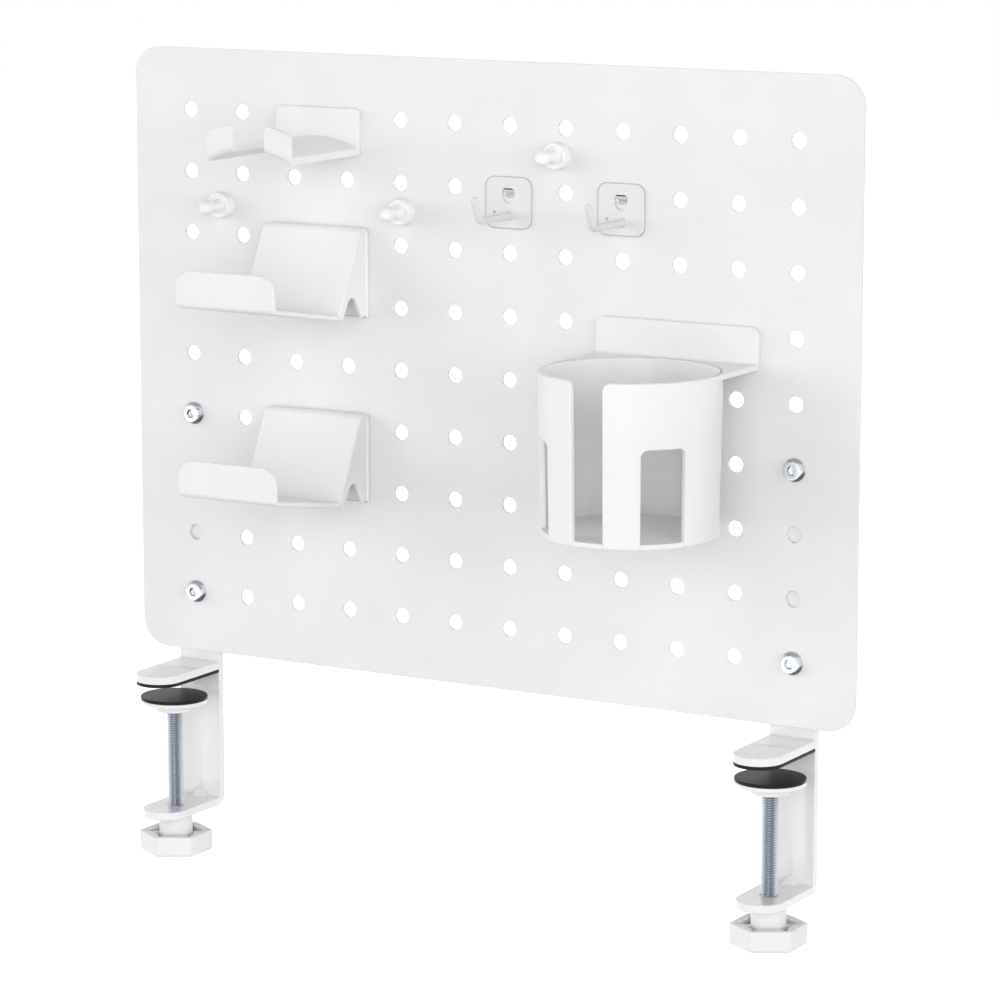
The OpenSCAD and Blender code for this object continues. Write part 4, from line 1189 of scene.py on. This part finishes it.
def makeHook(side, column):
    k = hookSizes
    x, z = columnX(column), rowZ(k["row"])
    half, windowHalf, middle = k["width"] / 2, k["window"] / 2, k["sheet"] / 2
    outline = boxOutline((-half, k["over"] - k["height"]), (half, k["over"]), k["corner"])
    high = -k["windowDrop"]
    low = high - k["tongue"]
    window = [(windowHalf, high), (-windowHalf, high)]
    window += arcPoints((0, low + windowHalf), windowHalf, 180, 360, 12)
    holes = [window, circleOutline(k["vent"], k["ventRadius"], k["ventSides"])]
    sheet = plate(outline, k["sheet"], k["edge"], holes=holes, holeEdge=k["windowEdge"])
    shape = Shape().join(sheet.mapped(upright(panelFront)), (x, 0, z))
    run = k["sheet"] + panelSizes["thick"] + k["behind"]
    drop = run * math.tan(math.radians(k["slope"]))
    line = [(-middle, k["sheet"]), (-middle, high), (run - middle, high - drop), (run - middle, low)]
    path = BentPath(line, [k["tongueBend"]] * 2)
    tongueHalf = k["tongueWidth"] / 2
    strip = boxOutline((-tongueHalf, 0), (tongueHalf, path.length), k["tongueCorner"])
    tongue = plate(strip, k["sheet"], k["tongueEdge"], steps=2, cuts=path.cuts(15))

    def bend(u, s, n):
        p = path.at(s, middle - n)
        return (x + u, panelFront + p.x, z + p.y)

    shape.join(tongue.mapped(bend))
    addPiece("hook_sheet_" + side, shape, "hookPaint", side + "_hook", "hook_plate_" + side)

    turn, rodR = 90 - k["lean"], k["rod"] / 2
    bendLength = k["bend"] * math.tan(math.radians(turn / 2))
    bow = arcPoints((bendLength - k["length"], k["bend"]), k["bend"], 270, 270 - turn, 6)
    lift = k["tip"] - bendLength - rodR
    end = (bow[-1][0] - sinDeg(k["lean"]) * lift, bow[-1][1] + cosDeg(k["lean"]) * lift)
    rod = sweep([(weldRoot - k["sheet"], 0)] + bow + [end], rodR, k["rodSides"])
    bead = [(rodR + out, up) for out, up in k["weld"]]
    weld = revolve([(0, 0)] + bead + [(0, bead[-1][1])], k["rodSides"])
    rod.join(weld.mapped(lambda a, b, c: (a, -k["sheet"] - c, b)))
    rod = Shape().join(rod, (x + k["rodSide"], panelFront, z - k["rodDrop"]))
    addPiece("hook_wire_" + side, rod, "wirePaint", side + "_hook", "hook_rod_" + side)


paintEdgeShade(finish["hookPaint"])
makeHook("left", 7)
makeHook("right", 9)


# Magnetic pins: a turned body with a skirt, a dished front, a cone and a rounded head, and a magnet behind

pinSizes = {"skirt": 16.8, "skirtHeight": 7, "front": 15.6, "dish": 12.2, "dishDepth": 0.7,
            "dishSlope": 0.5, "cone": 8.6, "coneHeight": 6.6, "neck": 5.4, "head": 8.4, "length": 24,
            "magnet": 12, "magnetHeight": 4, "magnetGap": 0.05, "magnetRounds": [0, 0.3, 0.3, 0],
            "magnetSides": 48, "rounds": [0, 0, 0.3, 0.4, 1.1, 0.7, 0.2, 1.5, 3, 1.0, 0], "sides": 64,
            "places": [(-4.871, 2.476), (-1.434, 2.555), (1.382, 3.571)]}


def makePin(number, place):
    p = pinSizes
    x, z = place[0] * panelSizes["pitch"], midHeight + place[1] * panelSizes["pitch"]
    magnetR, high, step = p["magnet"] / 2, p["magnetHeight"], p["skirtHeight"]
    seat, seatTop = magnetR + p["magnetGap"], high + p["magnetGap"]
    dish, dishR = step - p["dishDepth"], p["dish"] / 2
    neckR, neckZ = p["neck"] / 2, step + p["coneHeight"]
    headR = p["head"] / 2
    headZ = p["length"] - headR
    section = roundedOutline(
        [(0, seatTop), (seat, seatTop), (seat, 0), (p["skirt"] / 2, 0), (p["front"] / 2, step),
         (dishR, step), (dishR - p["dishSlope"], dish), (p["cone"] / 2, dish), (neckR, neckZ),
         (headR, neckZ + neckR), (headR, headZ)], p["rounds"], 12)
    turned = revolve(section + arcPoints((0, headZ), headR, 0, 90, 9)[1:], p["sides"])
    corners = [(0, 0), (magnetR, 0), (magnetR, high), (0, high)]
    disc = revolve(roundedOutline(corners, p["magnetRounds"], 30), p["magnetSides"])

    def stand(a, b, c):
        return (x + a, panelFront - c, z + b)

    body = "pin_%d" % number
    addPiece("pin_turned_%d" % number, turned.mapped(stand), "pinWhite", body, "pin_body_%d" % number)
    addPiece("pin_disc_%d" % number, disc.mapped(stand), "magnetPlate", body, "pin_magnet_%d" % number)


for number, place in enumerate(pinSizes["places"], 1):
    makePin(number, place)
print("hooks and pins made")


# Stage: floor, backdrop, lamp and camera

stageSizes = {"floorZ": -0.75, "floorHalf": 12.0, "floorGlow": 1.0, "floorGrey": 0.55, "ahead": 0.92,
              "sideways": 3.5, "behind": 0.8, "above": 0.95, "turnover": 0.1}
lampSizes = {"place": (0.9, -2.8, 0.45), "size": 1.8, "power": 22}
cameraSizes = {"place": (1.22958, -2.09179, 0.56815), "sensor": 36, "lens": 147.09, "near": 0.05,
               "far": 60}
target = Vector((0.0121, -0.001, 0.1299))


# 1 for the rays that have to find plain white: from the camera, off gloss and through what is clear.
def seenNode(tree):
    ray = tree.nodes.new("ShaderNodeLightPath").outputs
    seen = mathNode(tree, "MAXIMUM", ray["Is Camera Ray"], ray["Is Glossy Ray"])
    return mathNode(tree, "MAXIMUM", seen, ray["Is Transmission Ray"])


def makeFloor():
    h, z, grey = stageSizes["floorHalf"], stageSizes["floorZ"], stageSizes["floorGrey"]
    mesh = bpy.data.meshes.new("studioFloor")
    mesh.from_pydata([(-h, -h, z), (h, -h, z), (h, h, z), (-h, h, z)], [], [(0, 1, 2, 3)])
    material = bpy.data.materials.new("paleFloor")
    material.use_nodes = True
    tree = material.node_tree
    tree.nodes.clear()
    matt = addNode(tree, "ShaderNodeBsdfDiffuse", {"Color": (grey, grey, grey, 1)})
    glow = addNode(tree, "ShaderNodeEmission", {
        "Strength": mathNode(tree, "MULTIPLY", seenNode(tree), stageSizes["floorGlow"])})
    both = addNode(tree, "ShaderNodeAddShader", {0: matt.outputs[0], 1: glow.outputs[0]})
    addNode(tree, "ShaderNodeOutputMaterial", {"Surface": both.outputs[0]})
    mesh.materials.append(material)
    linkedObject("studioFloor", mesh)


# The room's light grows towards the sides and falls towards the top; behind the panel it is even.
def makeBackdrop():
    s = stageSizes
    world = bpy.data.worlds.new("studio")
    bpy.context.scene.world = world
    world.use_nodes = True
    tree = world.node_tree
    tree.nodes.clear()
    axes = axesOf(tree, tree.nodes.new("ShaderNodeTexCoord").outputs["Generated"])
    sideways = mathNode(tree, "MULTIPLY", mathNode(tree, "MULTIPLY", axes["X"], axes["X"]), s["sideways"])
    upward = mapNode(tree, axes["Z"], 0.0, 1.0, 1.0, 1 - s["above"])
    ahead = mathNode(tree, "MULTIPLY", mathNode(tree, "ADD", sideways, s["ahead"]), upward)
    front = mapNode(tree, axes["Y"], -s["turnover"], s["turnover"], 1.0, 0.0)
    soft = mathNode(tree, "MULTIPLY", front, mathNode(tree, "SUBTRACT", ahead, s["behind"]))
    light = addNode(tree, "ShaderNodeBackground", {
        "Color": (1, 1, 1, 1), "Strength": mathNode(tree, "ADD", soft, s["behind"])})
    white = addNode(tree, "ShaderNodeBackground", {"Color": (1, 1, 1, 1), "Strength": 1})
    mix = addNode(tree, "ShaderNodeMixShader", {
        0: seenNode(tree), 1: light.outputs[0], 2: white.outputs[0]})
    addNode(tree, "ShaderNodeOutputWorld", {"Surface": mix.outputs[0]})


def aimAtTarget(obj, place):
    obj.location = place
    obj.rotation_euler = (target - Vector(place)).to_track_quat("-Z", "Y").to_euler()


def makeLamp():
    data = bpy.data.lights.new("keyPanel", "AREA")
    data.shape = "SQUARE"
    data.size = lampSizes["size"]
    data.energy = lampSizes["power"]
    aimAtTarget(linkedObject("keyPanel", data), lampSizes["place"])


def makeCamera():
    data = bpy.data.cameras.new("photoCamera")
    data.sensor_width = cameraSizes["sensor"]
    data.lens = cameraSizes["lens"]
    data.clip_start = cameraSizes["near"]
    data.clip_end = cameraSizes["far"]
    camera = linkedObject("photoCamera", data)
    aimAtTarget(camera, cameraSizes["place"])
    bpy.context.scene.camera = camera


makeFloor()
makeBackdrop()
makeLamp()
makeCamera()
bpy.context.scene.view_settings.view_transform = "Standard"


print("stage, camera and sizes done")
